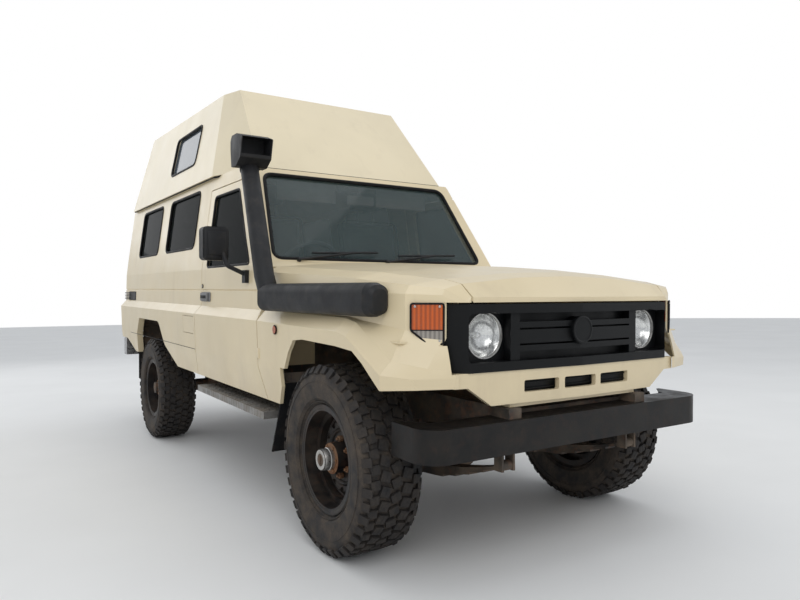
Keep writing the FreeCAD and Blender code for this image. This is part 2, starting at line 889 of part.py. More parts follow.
def leaf_spring(x, y, seat, half, above):
    """A stack of leaves, its eyes, hangers up to the frame rail, and the clamp at the axle."""
    parts = []
    for index in range(leaves):
        step = index * leaf_step
        low = seat - (index + 1) * leaf_thickness
        if above:
            low = seat + (leaves - 1 - index) * leaf_thickness
        rise = spring_camber * ((half - step) / half) ** 2
        parts.append(leaf(x, y, low, half - step, rise, leaf_thickness + weld_lap / 2))
    main_low = seat - leaf_thickness
    if above:
        main_low = seat + (leaves - 1) * leaf_thickness
    eye_z = main_low + spring_camber + spring_eye_radius / 2
    x0 = x - spring_width / 2
    x1 = x + spring_width / 2
    for end in (-1, 1):
        eye_y = y + end * half
        parts.append(disc_x(eye_y, eye_z, spring_eye_radius, x0, x1))
        rail_z = raked_z(eye_y, rail_bottom + rail_rise(eye_y)) + weld_lap
        for edge in (x0, x1 - hanger_wall):
            parts.append(block(edge, edge + hanger_wall, eye_y - hanger_wide / 2, eye_y + hanger_wide / 2,
                               eye_z - spring_eye_radius, rail_z))
    stack = leaves * leaf_thickness
    clamp_low = seat - stack - hanger_wall
    clamp_high = seat
    if above:
        clamp_low = seat
        clamp_high = seat + stack + hanger_wall
    parts.append(block(x0 - weld_lap, x1 + weld_lap, y - hanger_wide, y + hanger_wide, clamp_low,
                       clamp_high))
    return fused(parts)


def damper(x, top_x, y, low, high, lean):
    """Telescopic damper: a wide lower tube and a thin rod, its top leaning inwards or outwards."""
    bottom = V(x, y, low)
    top = V(top_x, y + lean, high)
    middle = bottom + (top - bottom) * shock_tube_share
    eye_half = spring_width / 2
    return fused([rod(bottom, middle, shock_radius), rod(middle, top, shock_rod_radius),
                  disc_x(y, low, shock_eye_radius, x - eye_half, x + eye_half),
                  disc_x(y + lean, high, shock_eye_radius, top_x - eye_half, top_x + eye_half)])


def leaf_springs():
    """Front springs hang under the axle, rear springs stand on it."""
    front_seat = axle_z - front_tube_radius - spring_drop
    rear_seat = axle_z + rear_tube_radius + spring_drop
    shapes = []
    for side in (-1, 1):
        shapes.append(leaf_spring(side * spring_x, 0, front_seat, front_spring_half, False))
        shapes.append(leaf_spring(side * spring_x, wheelbase, rear_seat, rear_spring_half, True))
    return together(shapes)


def shock_absorbers():
    shapes = []
    for side in (-1, 1):
        front_y = shock_offset
        rear_y = wheelbase + shock_offset
        shapes.append(damper(side * front_shock_x, side * shock_x, front_y, axle_z, raked_z(front_y, rail_bottom + rail_high),
                             shock_lean))
        shapes.append(damper(side * shock_x, side * shock_x, rear_y, axle_z,
                             raked_z(rear_y, rail_bottom + rail_arch_rise), -shock_lean))
    return together(shapes)


def rail_rise(y):
    """How far the frame rails are kicked up at y, over the rear axle."""
    if y < rail_arch_y0:
        return 0
    if y < rail_arch_y1:
        return rail_arch_rise * (y - rail_arch_y0) / (rail_arch_y1 - rail_arch_y0)
    return rail_arch_rise


def chassis_frame():
    """Ladder frame: two rails kicked up over the rear axle, cross members and a towing plate."""
    stations = [rail_front, rail_arch_y0, rail_arch_y1, rail_rear]
    low = [(y, rail_bottom + rail_rise(y)) for y in stations]
    high = [(y, z + rail_high) for y, z in reversed(low)]
    half = rail_wide / 2
    parts = []
    for side in (-1, 1):
        parts.append(along_x(low + high, side * rail_x - half, side * rail_x + half))
    inner = rail_x
    cross_y = [rail_front + cross_wide, gearbox_y1 + cross_wide, rail_arch_y0,
               wheelbase + cross_wide * 2, rail_rear - cross_wide]
    for y in cross_y:
        low_z = rail_bottom + rail_rise(y) + (rail_high - cross_high) / 2
        parts.append(block(-inner, inner, y, y + cross_wide, low_z, low_z + cross_high))
    plate_z = z_tail_corner - clear_gap - tow_plate_thick
    gusset_z = rail_bottom + rail_arch_rise + (rail_high - cross_high) / 2
    plate_half = tow_plate_wide / 2
    tongue = block(-plate_half, plate_half, rail_rear - cross_wide, rail_rear + tow_plate_reach,
                   plate_z, plate_z + tow_plate_thick)
    gusset = block(-plate_half, plate_half, rail_rear - cross_wide, rail_rear, plate_z, gusset_z + weld_lap)
    bore_y = rail_rear + tow_plate_reach - plate_half
    bore = Part.makeCylinder(tow_bore_radius, 2 * overrun, V(0, bore_y, plate_z - overrun))
    for side in (-1, 1):
        bracket_half = bumper_bracket_wide / 2
        parts.append(block(side * rail_x - bracket_half, side * rail_x + bracket_half,
                           bumper_front_y + bumper_wall, rail_front + cross_wide,
                           rail_bottom, rail_bottom + bumper_wall * 2))
    return fused(parts + [gusset, tongue]).cut(bore)


# Engine, shafts, tank and exhaust
def powertrain():
    """Engine as one plain block, gearbox and the two propeller shafts."""
    engine_half = engine_wide / 2
    gearbox_half = gearbox_wide / 2
    engine = block(-engine_half, engine_half, engine_y0, engine_y1, engine_z0, engine_z1)
    gearbox = block(-gearbox_half, gearbox_half, engine_y1, gearbox_y1, gearbox_z0, gearbox_z1)
    drop = block(diff_x - prop_radius * 2, 0, gearbox_y1 - gearbox_wide, gearbox_y1, gearbox_z0,
                 gearbox_z1 - prop_radius)
    mount_z = rail_bottom + rail_high / 2
    mounts = []
    for side in (-1, 1):
        mounts.append(raked(block(side * (engine_half - weld_lap), side * (rail_x - rail_wide / 2),
                                  engine_y0 + engine_wide / 2, engine_y0 + engine_wide / 2 + rail_wide,
                                  mount_z, mount_z + rail_wide / 2)))
    return fused([raked(engine), raked(gearbox), raked(drop)] + mounts)


def prop_shafts():
    nose_z = axle_z + diff_nose_rise
    box_y = gearbox_y1 - gearbox_wide
    front = rod(V(diff_x, diff_nose, nose_z), V(diff_x, box_y, raked_z(box_y, prop_front_z)), prop_radius)
    rear_z = raked_z(gearbox_y1, prop_rear_z)
    rear = rod(V(0, gearbox_y1, rear_z), V(0, wheelbase - diff_nose, axle_z), prop_radius)
    return together([front, rear])


def fuel_tank():
    points = rectangle(tank_y0, tank_y1, tank_z0, tank_z1)
    return rounded_along_x(points, tank_corner, -tank_half, tank_half)


def exhaust():
    """Pipe from the engine along the left of the gearbox, a muffler and a tail pipe."""
    start_y = engine_y1 / 2
    points = [V(engine_wide / 2 + pipe_radius, start_y, engine_z0 + pipe_bend),
              V(engine_wide / 2 + pipe_radius, engine_y1 + pipe_bend, pipe_z),
              V(pipe_x, muffler_y0, pipe_z)]
    down = bent_tube(points, pipe_radius, pipe_bend)
    muffler = rod(V(pipe_x, muffler_y0, pipe_z), V(pipe_x, muffler_y1, pipe_z), muffler_radius)
    tail = [V(pipe_x, muffler_y1, pipe_z), V(pipe_x, rail_arch_y0 + cross_wide + pipe_bend, pipe_z),
            V(pipe_x, rail_arch_y1 + cross_wide, load_floor_z - pipe_radius * 3),
            V(pipe_x, tank_y0 - pipe_bend, load_floor_z - pipe_radius * 3)]
    return fused([down, muffler, bent_tube(tail, pipe_radius, pipe_bend)])


# Body shell
def section_outer():
    """Outer (x, z) line of the left body side from the sill up to the gutter."""
    return [(body_half_sill, z_sill), (body_half_seam, z_seam), (body_half_ridge, z_ridge),
            (body_half_ledge, z_ledge), (body_half_groove, z_groove - groove_depth),
            (body_half_groove - groove_depth, z_groove), (body_half_groove, z_groove + groove_depth),
            (body_half_belt, z_belt), (body_half_window, z_window_low), (body_half_top, z_window_top),
            (body_half_gutter, z_gutter)]


def outer_half(z):
    """Half width of the body side at height z."""
    points = section_outer()
    for low, high in zip(points, points[1:]):
        if low[1] <= z <= high[1]:
            share = (z - low[1]) / (high[1] - low[1])
            return low[0] + share * (high[0] - low[0])
    return points[-1][0] if z > points[-1][1] else points[0][0]


def side_wall(y0, y1, thick):
    """Left body side as a wall of one thickness, from y0 to y1."""
    outer = section_outer()
    inner = [(x - thick, z) for x, z in reversed(outer)]
    return along_y(outer + inner, y0, y1)


def band_x():
    """Inner and outer x between which every cut through the left body side runs."""
    return body_half_gutter - wall - overrun * 2, body_half_ridge + overrun * 2


def through_side(points, corner=0):
    x0, x1 = band_x()
    if corner:
        return rounded_along_x(points, corner, x0, x1)
    return along_x(points, x0, x1)


def door_outline(grow):
    """Side view of the front door, grown outwards by the panel gap for its opening."""
    return [(y_door_toe - grow, z_sill - grow), (y_door_front - grow, z_seam), (y_door_front - grow, z_ridge),
            (y_cowl - grow, z_ledge), (y_cowl - grow, z_belt + grow),
            (y_door_belt_front - grow, z_belt + grow), (y_door_top_front - grow, z_door_top + grow),
            (y_door_rear + grow, z_door_top + grow), (y_door_rear + grow, z_sill - grow)]


def pillar_slope():
    """Lean of the windscreen pillar: y gained for each unit of height."""
    return (screen_top_y - screen_low_y) / (screen_top_z - screen_low_z)


def pillar_y(z):
    return screen_low_y + (z - screen_low_z) * pillar_slope()


def rear_arch_outline():
    return [(rear_arch_front_low, z_sill - overrun), (rear_arch_front_low, z_sill),
            (rear_arch_front_mid - wall, rear_arch_mid_z - wall), (rear_arch_front_mid, rear_arch_mid_z),
            (rear_arch_front_top - wall, rear_arch_top - panel_gap * 2), (rear_arch_front_top, rear_arch_top),
            (rear_arch_rear_top, rear_arch_top), (rear_arch_rear_low, rear_arch_mid_z),
            (rear_arch_rear_low + wall, z_sill), (rear_arch_rear_low + wall, z_sill - overrun)]


def tail_outline():
    """What is cut away under the tail, where the side rises to the rear corner."""
    far = y_body_rear + overrun
    return [(rear_arch_rear_low, z_sill - overrun), (y_tail_rise, z_sill), (y_tail_corner, z_tail_corner),
            (far, z_tail_corner), (far, z_sill - overrun)]


def window_rect(y0, y1, grow):
    return rectangle(y0 - grow, y1 + grow, z_window_low - grow, z_window_top - grow - window_corner / 3)


def quarter_spans():
    return [(quarter_front_y0, quarter_front_y1), (quarter_rear_y0, quarter_rear_y1)]


def body_sides():
    """Both fixed body sides: pillar and rail round the door, then the long side to the tail."""
    side = side_wall(y_door_front, y_body_rear, wall)
    ahead = [(0, z_sill - overrun), (0, z_gutter + overrun),
             (pillar_y(z_gutter + overrun) + screen_thick, z_gutter + overrun),
             (pillar_y(z_sill - overrun) + screen_thick, z_sill - overrun)]
    cuts = [through_side(door_outline(panel_gap)), through_side(rear_arch_outline()),
            through_side(tail_outline()), through_side(ahead),
            through_side(rectangle(vent_y0, vent_y1, vent_z0, vent_z1))]
    for y0, y1 in quarter_spans():
        cuts.append(through_side(window_rect(y0, y1, 0), window_corner))
    sill_gap = block(0, body_half_ridge + overrun, 0, y_door_rear + panel_gap, 0, z_seam)
    cuts.append(sill_gap)
    flap = block(body_half_ledge, body_half_ridge + overrun, fuel_flap_y0, fuel_flap_y1, fuel_flap_z0,
                 fuel_flap_z1)
    left = side.cut(Part.makeCompound(cuts))
    right = mirrored(left).cut(mirrored(flap))
    return together([left, right])


def liner(outline, inner_x, outer_x):
    """A thin skin that follows an arch outline, from the side wall inwards."""
    solid = along_x(outline, inner_x, outer_x)
    return solid


def fuel_flap():
    """Flap of the filler on the right side, flush in its recess."""
    low = fuel_flap_z0 + panel_gap / 2
    high = fuel_flap_z1 - panel_gap / 2
    skin = side_wall(fuel_flap_y0 + panel_gap / 2, fuel_flap_y1 - panel_gap / 2, wall / 2)
    band = block(body_half_ledge + weld_lap, body_half_ridge + overrun, fuel_flap_y0, fuel_flap_y1, low, high)
    return mirrored(skin.common(band))


def side_vents():
    """Black vents high on each rear quarter."""
    depth = wall * 0.6
    plate = block(body_half_groove - depth, body_half_groove + trim_proud, vent_y0 + trim_proud,
                  vent_y1 - trim_proud, vent_z0 + trim_proud, vent_z1 - trim_proud)
    return pair(plate)


# Doors
def door_window_outline():
    """Glass opening of the front door in side view."""
    frame = door_window_frame
    low = door_window_low
    lean = (y_door_top_front - y_door_belt_front) / (z_door_top - z_belt)
    front_low = y_door_belt_front + frame + (low - z_belt) * lean
    front_top = y_door_belt_front + frame + (z_door_top - frame - z_belt) * lean
    return [(front_low, low), (front_top, z_door_top - frame), (y_window_rear, z_door_top - frame),
            (y_window_rear, low)]


def door():
    """Left front door, as thick as the body side, with its window cut and its handle."""
    skin = side_wall(0, y_door_rear, door_wall)
    shape = skin.common(through_side(door_outline(0)))
    shape = shape.cut(through_side(door_window_outline(), window_corner / 2))
    x_out = body_half_groove
    bar = block(x_out - wall / 2, x_out + handle_proud, handle_y - handle_long / 2, handle_y + handle_long / 2,
                handle_z - handle_high / 4, handle_z + handle_high / 4)
    return shape.fuse(bar).removeSplitter()


def pane(outline, corner, grow):
    """Glass that fills a window of the left side, following its lean."""
    skin = side_wall(0, y_body_rear, wall)
    outer = section_outer()
    front = [(x - glass_inset, z) for x, z in outer]
    back = [(x - glass_inset - glass_thick, z) for x, z in reversed(outer)]
    sheet = along_y(front + back, 0, y_body_rear)
    return sheet.common(through_side(outline, corner))


def door_glass():
    return pane(door_window_outline(), window_corner / 2, 0)


def quarter_glass():
    panes = []
    for y0, y1 in quarter_spans():
        panes.append(pane(window_rect(y0, y1, 0), window_corner, 0))
    return pair(together(panes))


def mirror_unit():
    """Left door mirror: head, arm and foot on the door's belt."""
    head = rounded_along_y(rectangle(mirror_x - mirror_half_wide, mirror_x + mirror_half_wide,
                                     mirror_z - mirror_high / 2, mirror_z + mirror_high / 2),
                           window_corner / 2, mirror_y - mirror_deep / 2, mirror_y + mirror_deep / 2)
    foot_x = outer_half(z_belt - wall)
    foot_z = z_belt - wall
    foot = block(foot_x - weld_lap, foot_x + mirror_arm_radius * 2, mirror_foot_y - wall / 2,
                 mirror_foot_y + wall / 2, foot_z - wall, foot_z + wall / 2)
    elbow = V(foot_x + mirror_arm_radius, mirror_foot_y, foot_z)
    arm = bent_tube([elbow, V(mirror_x - mirror_half_wide / 2, mirror_foot_y, foot_z + wall),
                     V(mirror_x - mirror_half_wide / 2, mirror_y, mirror_z)], mirror_arm_radius,
                    mirror_arm_radius * 2)
    return fused([head, foot, arm])


# Windscreen and roof
def screen_point(x, share):
    """A point in the windscreen plane; share 0 is its lower edge and 1 its upper edge."""
    y = screen_low_y + share * (screen_top_y - screen_low_y)
    z = screen_low_z + share * (screen_top_z - screen_low_z)
    return V(x, y, z)


def screen_normal():
    """Unit vector square to the windscreen, pointing into the cab."""
    return V(0, screen_top_z - screen_low_z, screen_low_y - screen_top_y).normalize()


def screen_sheet(grow, corner, depth, thick):
    """The windscreen's outline as a plate, grown outwards and set back by a depth."""
    low = screen_low_half + grow
    top = screen_top_half + grow
    rise = grow / (screen_top_z - screen_low_z)
    corners = [screen_point(-low, -rise), screen_point(low, -rise), screen_point(top, 1 + rise),
               screen_point(-top, 1 + rise)]
    face = Part.Face(rounded_points(corners, corner))
    face.translate(screen_normal() * depth)
    return face.extrude(screen_normal() * thick)


def windscreen_frame():
    """Pillars, header and cowl that carry the windscreen between the body sides."""
    share_low = (cowl_z - overrun - screen_low_z) / (screen_top_z - screen_low_z)
    share_top = (z_gutter + overrun - screen_low_z) / (screen_top_z - screen_low_z)
    low_half = outer_half(z_belt) - wall
    top_half = outer_half(z_gutter) - wall - (outer_half(z_window_low) - outer_half(z_window_top)) / 6
    corners = [screen_point(-low_half, share_low), screen_point(low_half, share_low),
               screen_point(top_half, share_top), screen_point(-top_half, share_top)]
    plate = face_of(corners).extrude(screen_normal() * screen_thick)
    plate = plate.common(block(-low_half, low_half, 0, y_body_rear, cowl_z - overrun, z_gutter))
    opening = screen_sheet(0, window_corner, -overrun, screen_thick + 2 * overrun)
    back_y = screen_low_y + screen_thick
    cowl = along_x([(cowl_front_y, cowl_z - overrun), (cowl_front_y, cowl_z - bonnet_thick),
                    (screen_low_y, screen_low_z - clear_gap), (back_y, screen_low_z - clear_gap),
                    (back_y, cowl_z - overrun)], -low_half, low_half)
    return fused([plate.cut(opening), cowl])


def windscreen_glass():
    return screen_sheet(-panel_gap / 3, window_corner - panel_gap / 3, glass_inset, glass_thick)


def roof_plan(front_half, front_y, side_half, side_y, rear_half, corner_y, rear_y, z_front, z_rear):
    """Eight-cornered closed outline of the roof at one level, from the front left corner round."""
    slope = (z_rear - z_front) / (rear_y - front_y)
    right = [(front_half, front_y), (side_half, side_y), (side_half, corner_y), (rear_half, rear_y)]
    ring = right + [(-x, y) for x, y in reversed(right)]
    points = [V(x, y, z_front + (y - front_y) * slope) for x, y in ring]
    return Part.makePolygon(points + [points[0]])


def roof_body(inset):
    """The high roof as a filled form, each face moved inwards by the inset."""
    drop = inset + roof_crown_inset / 3
    low = roof_plan(roof_front_low_half - inset, roof_front_low_y + inset, roof_low_half - inset,
                    roof_side_y, roof_rear_corner_half - inset, roof_rear_corner_y - inset,
                    roof_rear_low_y - inset, z_gutter, z_gutter)
    rear_half = roof_top_half * roof_rear_corner_half / roof_low_half
    high = roof_plan(roof_top_front_half - inset, roof_top_front_y + inset, roof_top_half - inset,
                     roof_top_side_y, rear_half - inset, roof_top_rear_y - inset,
                     roof_top_rear_y + clear_gap * 2 - inset, roof_top_front_z - inset, roof_top_rear_z - inset)
    crown = roof_plan(roof_top_front_half - drop - roof_crown_inset, roof_top_front_y + drop + roof_crown_inset,
                      roof_top_half - drop - roof_crown_inset, roof_top_side_y + roof_crown_inset,
                      rear_half - drop - roof_crown_inset, roof_top_rear_y - drop - roof_crown_inset * 2,
                      roof_top_rear_y - drop - roof_crown_inset, roof_top_front_z + roof_crown_z - inset,
                      roof_top_rear_z + roof_crown_z - inset)
    return Part.makeLoft([low, high, crown], True, True)


def roof_window_outline(grow):
    lean = roof_window_lean
    return [(roof_window_y0 - grow, roof_window_z0 - grow), (roof_window_y0 + lean - grow, roof_window_z1 + grow),
            (roof_window_y1 + grow, roof_window_z1 + grow), (roof_window_y1 - lean + grow, roof_window_z0 - grow)]


def roof_window_prism(grow, side):
    outer = roof_low_half + overrun
    inner = roof_top_half - overrun * 2
    return rounded_along_x(roof_window_outline(grow), window_corner, side * inner, side * outer)


def high_roof():
    """Moulded high roof: hollow, open below inside its flange, with a window each side."""
    outer = roof_body(0)
    hollow = roof_body(roof_wall)
    above = block(-roof_low_half, roof_low_half, 0, y_body_rear + overrun, z_gutter + roof_flange,
                  roof_top_rear_z + overrun)
    mouth = roof_body(roof_flange_wide)
    mouth_low = block(-roof_low_half, roof_low_half, 0, y_body_rear + overrun, z_gutter - overrun,
                      z_gutter + roof_flange * 2)
    shell = outer.cut(hollow.common(above)).cut(mouth.common(mouth_low))
    for side in (-1, 1):
        shell = shell.cut(roof_window_prism(0, side))
    return shell


def roof_glass():
    sheet = roof_body(glass_inset).cut(roof_body(glass_inset + glass_thick))
    return together([sheet.common(roof_window_prism(0, -1)), sheet.common(roof_window_prism(0, 1))])


# Front wings, bonnet and nose
def wing_stations():
    return [wing_back_y, flare_peak_y, flare_turn_y, flare_low_y, wing_turn_y, wing_front_y]


def wing_points(index):
    """Outer (x, z) line of the left wing at one station."""
    xs = wing_x_share[index]
    zs = wing_z_share[index]
    return [(body_half_ridge * x, z_ledge * z) for x, z in zip(xs, zs)]


def wing_ring(index, skin):
    """Closed section of the wing's skin at one station."""
    y = wing_stations()[index]
    outer = wing_points(index)
    shift = [skin, skin, skin, skin, skin, skin / 2, 0]
    drop = [0, 0, 0, 0, skin, skin, skin]
    inner = [(x - shift[spot], z - drop[spot]) for spot, (x, z) in enumerate(outer)]
    points = [V(x, y, z) for x, z in outer + list(reversed(inner))]
    return Part.makePolygon(points + [points[0]])


def wing_fill():
    """Everything inboard of the left wing's outer surface, as one solid."""
    rings = []
    for index, y in enumerate(wing_stations()):
        outer = wing_points(index)
        inner = [(0, outer[-1][1]), (0, outer[0][1])]
        points = [V(x, y, z) for x, z in outer + inner]
        rings.append(Part.makePolygon(points + [points[0]]))
    return Part.makeLoft(rings, True, True)


def front_arch_outline():
    """Side view of the front wheel's opening."""
    top = front_arch_top
    half = front_arch_half_top
    return [(wing_toe_y, 0), (wing_toe_y, z_sill), (front_arch_rear, z_seam), (half + wall, top - wall * 1.5),
            (half - wall / 4, top - clear_gap), (half * 0.6, top), (-half * 0.6, top - panel_gap),
            (-half * 1.12, top - wall / 3), (-half * 1.4, top - wall * 1.2), (-front_arch_front, wing_lip_z),
            (-front_arch_front, 0)]


def wing():
    """Left front wing: flared side, toe behind the wheel and inner apron."""
    rings = [wing_ring(index, wing_skin) for index in range(len(wing_stations()))]
    skin = Part.makeLoft(rings, True, True)
    toe = side_wall(wing_toe_y - wall, wing_back_y, wing_skin)
    toe_limit = along_x([(wing_toe_y - wall * 2, wing_lip_z + weld_lap), (wing_back_y, wing_lip_z + weld_lap),
                         (wing_back_y, z_seam), (y_door_toe - panel_gap, z_sill),
                         (wing_toe_y - wall * 2, z_sill)], 0, body_half_ridge + overrun)
    toe = toe.common(toe_limit)
    apron = block(apron_x, apron_x + arch_liner_thick, wing_turn_y, y_door_front - wall,
                  front_arch_top + wall / 2, z_groove)
    apron_top = block(apron_x, body_half_ledge - wing_skin * 2, wing_turn_y + overrun, y_door_front - wall,
                      front_arch_top + wall / 2, front_arch_top + wall / 2 + arch_liner_thick)
    apron_back = block(apron_x, body_half_ledge, y_door_front - wall - arch_liner_thick, y_door_front - wall,
                       z_seam, z_groove)
    shape = fused([skin, toe, apron, apron_top, apron_back])
    mouth = block(0, grille_half + panel_gap, wing_front_y - overrun, wing_turn_y, grille_bottom,
                  grille_top + panel_gap)
    beside = block(grille_half, wing_points(4)[4][0] + overrun, wing_front_y - overrun, wing_turn_y,
                   corner_lamp_z0 - panel_gap, grille_top + panel_gap)
    arch = along_x(front_arch_outline(), apron_x - overrun, body_half_ridge + overrun)
    return shape.cut(arch).cut(mouth).cut(beside)


def bonnet_ring(y, half, z, crown, thick):
    """Closed section of the bonnet at one station: edge, shoulder, crown and back underneath."""
    rise = crown * crown_shoulder_share
    top = [(-half, z), (-half / 2, z + rise), (0, z + crown), (half / 2, z + rise), (half, z)]
    low = [(x, height - thick) for x, height in reversed(top)]
    points = [V(x, y, height) for x, height in top + low]
    return Part.makePolygon(points + [points[0]])



def bonnet():
    """Bonnet between the wings, crowned, its front face folded down to the grille."""
    rings = [bonnet_ring(bonnet_rear_y, wing_points(0)[6][0] - bonnet_gap, wing_points(0)[6][1], bonnet_crown,
                         bonnet_thick)]
    for index, y in enumerate(wing_stations()):
        if index > 0:
            edge_x, edge_z = wing_points(index)[6]
            rings.append(bonnet_ring(y, edge_x - bonnet_gap, edge_z, bonnet_crown, bonnet_thick))
    last_x, last_z = wing_points(5)[6]
    rings[-1] = bonnet_ring(wing_front_y - bonnet_gap, last_x - bonnet_gap, last_z, 0, bonnet_thick)
    return Part.makeLoft(rings, True, True)



def nose_plan(front, depth, half, sweep):
    """Plan outline across the nose: bowed forward in the middle, swept back at the ends."""
    wrap = half - grille_wrap
    line = [(-half, front + sweep), (-wrap, front + nose_bow), (0, front - nose_bow),
            (wrap, front + nose_bow), (half, front + sweep)]
    back = [(x, y + depth) for x, y in reversed(line)]
    return line + back



def grille_outline(inset):
    """Front view of the grille frame with its lower corners cut off."""
    half = grille_half - inset
    low = grille_bottom + inset
    high = grille_top - inset
    cut = grille_chamfer
    return [(-half, low + cut), (-half + cut, low), (half - cut, low), (half, low + cut), (half, high),
            (-half, high)]


def grille():
    """Frame of the grille with cross bars between the lamp wells and a plain round boss."""
    front = nose_y - nose_bow * 2
    solid = along_z(nose_plan(nose_y, grille_depth, grille_half, grille_sweep), grille_bottom, grille_top)
    frame = solid.common(along_y(grille_outline(0), front - overrun, 0))
    bore_y0 = front - overrun
    opening = rounded_along_y(rectangle(-grille_mouth_half, grille_mouth_half,
                                        grille_bottom + grille_frame, grille_top - grille_frame),
                              grille_frame / 2, bore_y0, 0)
    frame = frame.cut(opening)
    inner_half = headlamp_x - headlamp_radius - grille_frame / 2
    parts = [frame]
    backing = along_z(nose_plan(nose_y + grille_depth - bumper_wall * 2, bumper_wall * 2, grille_half, grille_sweep),
                      grille_bottom, grille_top).common(along_y(grille_outline(bumper_wall), front, 0))
    pitch = (grille_top - grille_bottom - 2 * grille_frame) / (len(grille_bar_shares) + 1)
    for index, share in enumerate(grille_bar_shares):
        z = grille_bottom + grille_frame + (index + 1) * pitch
        bar = along_z(nose_plan(nose_y + grille_frame / 3, grille_depth - grille_frame / 3, grille_half,
                                grille_sweep),
                      z - share * grille_bar_high / 2, z + share * grille_bar_high / 2)
        parts.append(bar.common(block(-inner_half, inner_half, bore_y0, 0, grille_bottom, grille_top)))
    well = []
    for side in (-1, 1):
        post = side * (inner_half - grille_bar_high / 2)
        parts.append(along_z(nose_plan(nose_y + grille_frame / 3, grille_depth - grille_frame / 3, grille_half,
                                       grille_sweep),
                             grille_bottom + weld_lap, grille_top - weld_lap).common(
            block(post - grille_bar_high, post + grille_bar_high, bore_y0, 0, grille_bottom, grille_top)))
        well.append(Part.makeCylinder(headlamp_radius + trim_proud, 2 * grille_depth + overrun,
                                      V(side * headlamp_x, bore_y0, headlamp_z), Y_AXIS))
    boss = Part.makeCylinder(emblem_radius, grille_depth, V(0, nose_y - emblem_thick, headlamp_z + emblem_thick),
                             Y_AXIS)
    return fused(parts + [backing, boss]).cut(Part.makeCompound(well))


def headlamp(side):
    """Round headlamp: a lens in a chrome ring and a closed bowl behind it."""
    y = nose_y + headlamp_recess + headlamp_inset
    centre = V(side * headlamp_x, y, headlamp_z)
    bowl = Part.makeCylinder(headlamp_radius, headlamp_depth, centre, Y_AXIS)
    dome_rise = headlamp_inset
    radius = (headlamp_radius * headlamp_radius + dome_rise * dome_rise) / (2 * dome_rise)
    ball = Part.makeSphere(radius, V(side * headlamp_x, y - dome_rise + radius, headlamp_z), Y_AXIS)
    lens = ball.common(Part.makeCylinder(headlamp_radius - trim_proud, dome_rise,
                                         V(side * headlamp_x, y - dome_rise, headlamp_z), Y_AXIS))
    return fused([bowl, lens])


def headlamps():
    return together([headlamp(-1), headlamp(1)])


def corner_lamp_solid():
    """Corner lamp let into the wing's front corner, its lower outer corner cut off."""
    run = V(corner_lamp_outer - corner_lamp_inner, corner_lamp_outer_y - corner_lamp_inner_y, 0).normalize()
    back = V(-run.y, run.x, 0) * corner_lamp_deep
    plan = [(corner_lamp_inner, corner_lamp_inner_y), (corner_lamp_outer, corner_lamp_outer_y),
            (corner_lamp_outer + back.x, corner_lamp_outer_y + back.y),
            (corner_lamp_inner + back.x, corner_lamp_inner_y + back.y)]
    solid = rounded_along_z(plan, corner_lamp_round, corner_lamp_z0, corner_lamp_z1)
    far = corner_lamp_outer_y + overrun
    slope = (corner_lamp_split_z - corner_lamp_z0) / (corner_lamp_outer_y - corner_lamp_low_y)
    corner = [(corner_lamp_low_y, corner_lamp_z0), (far, corner_lamp_z0 + (far - corner_lamp_low_y) * slope),
              (far, corner_lamp_z0 - overrun), (corner_lamp_low_y, corner_lamp_z0 - overrun)]
    return solid.cut(along_x(corner, corner_lamp_inner - overrun, corner_lamp_outer + overrun))



def signal_lamps():
    """Corner lamps, side markers and rear lamps, each with its mirror image."""
    marker_x = outer_half(marker_z)
    marker = disc_x(marker_y, marker_z, marker_radius, marker_x - wing_skin / 2, marker_x + trim_proud * 2)
    return pair(together([corner_lamp_solid(), marker]))


def front_panel():
    """Painted valance under the grille with three slots, bowed like the nose."""
    solid = along_z(nose_plan(nose_y + bumper_wall, valance_thick, valance_wide, valance_sweep), valance_bottom,
                    grille_bottom)
    outline = [(-grille_half, valance_kink_z), (-valance_kink_half, valance_kink_z), (-valance_half, valance_bottom),
               (valance_half, valance_bottom), (valance_kink_half, valance_kink_z), (grille_half, valance_kink_z),
               (grille_half, grille_bottom), (-grille_half, grille_bottom)]
    panel = solid.common(along_y(outline, nose_y - overrun, 0))
    corners = along_z(nose_plan(nose_y + valance_thick, valance_thick, valance_wide, grille_sweep),
                      grille_bottom - grille_chamfer / 2, grille_bottom + grille_chamfer)
    cuts = []
    pitch = 2 * slot_half_wide + slot_gap
    for index in (-1, 0, 1):
        middle = index * pitch
        cuts.append(rounded_along_y(rectangle(middle - slot_half_wide, middle + slot_half_wide, slot_bottom,
                                              slot_bottom + slot_high), trim_proud * 2, nose_y - overrun, 0))
    support = block(-rail_x, rail_x, nose_y + valance_thick, nose_y + grille_depth * 3,
                    rail_bottom + rail_high, valance_bottom + valance_thick)
    radiator = block(-rail_x + rail_wide, rail_x - rail_wide, nose_y + grille_depth * 2,
                     nose_y + grille_depth * 3, rail_bottom + rail_high, grille_top - grille_frame)
    back_half = grille_half - grille_wrap
    low_half = valance_half - overrun
    low = valance_bottom + valance_thick
    high = grille_top - grille_frame
    back = along_y([(-low_half, low), (low_half, low), (back_half, grille_bottom), (back_half, high),
                    (-back_half, high), (-back_half, grille_bottom)],
                   nose_y + grille_depth, nose_y + grille_depth + bumper_wall)
    for side in (-1, 1):
        back = back.cut(Part.makeCylinder(headlamp_radius + trim_proud, 2 * grille_depth,
                                          V(side * headlamp_x, nose_y, headlamp_z), Y_AXIS))
    shape = fused([panel.cut(Part.makeCompound(cuts)), corners, support, radiator, back])
    return shape.cut(grille()).cut(headlamps())


# Bumpers, steps and flaps




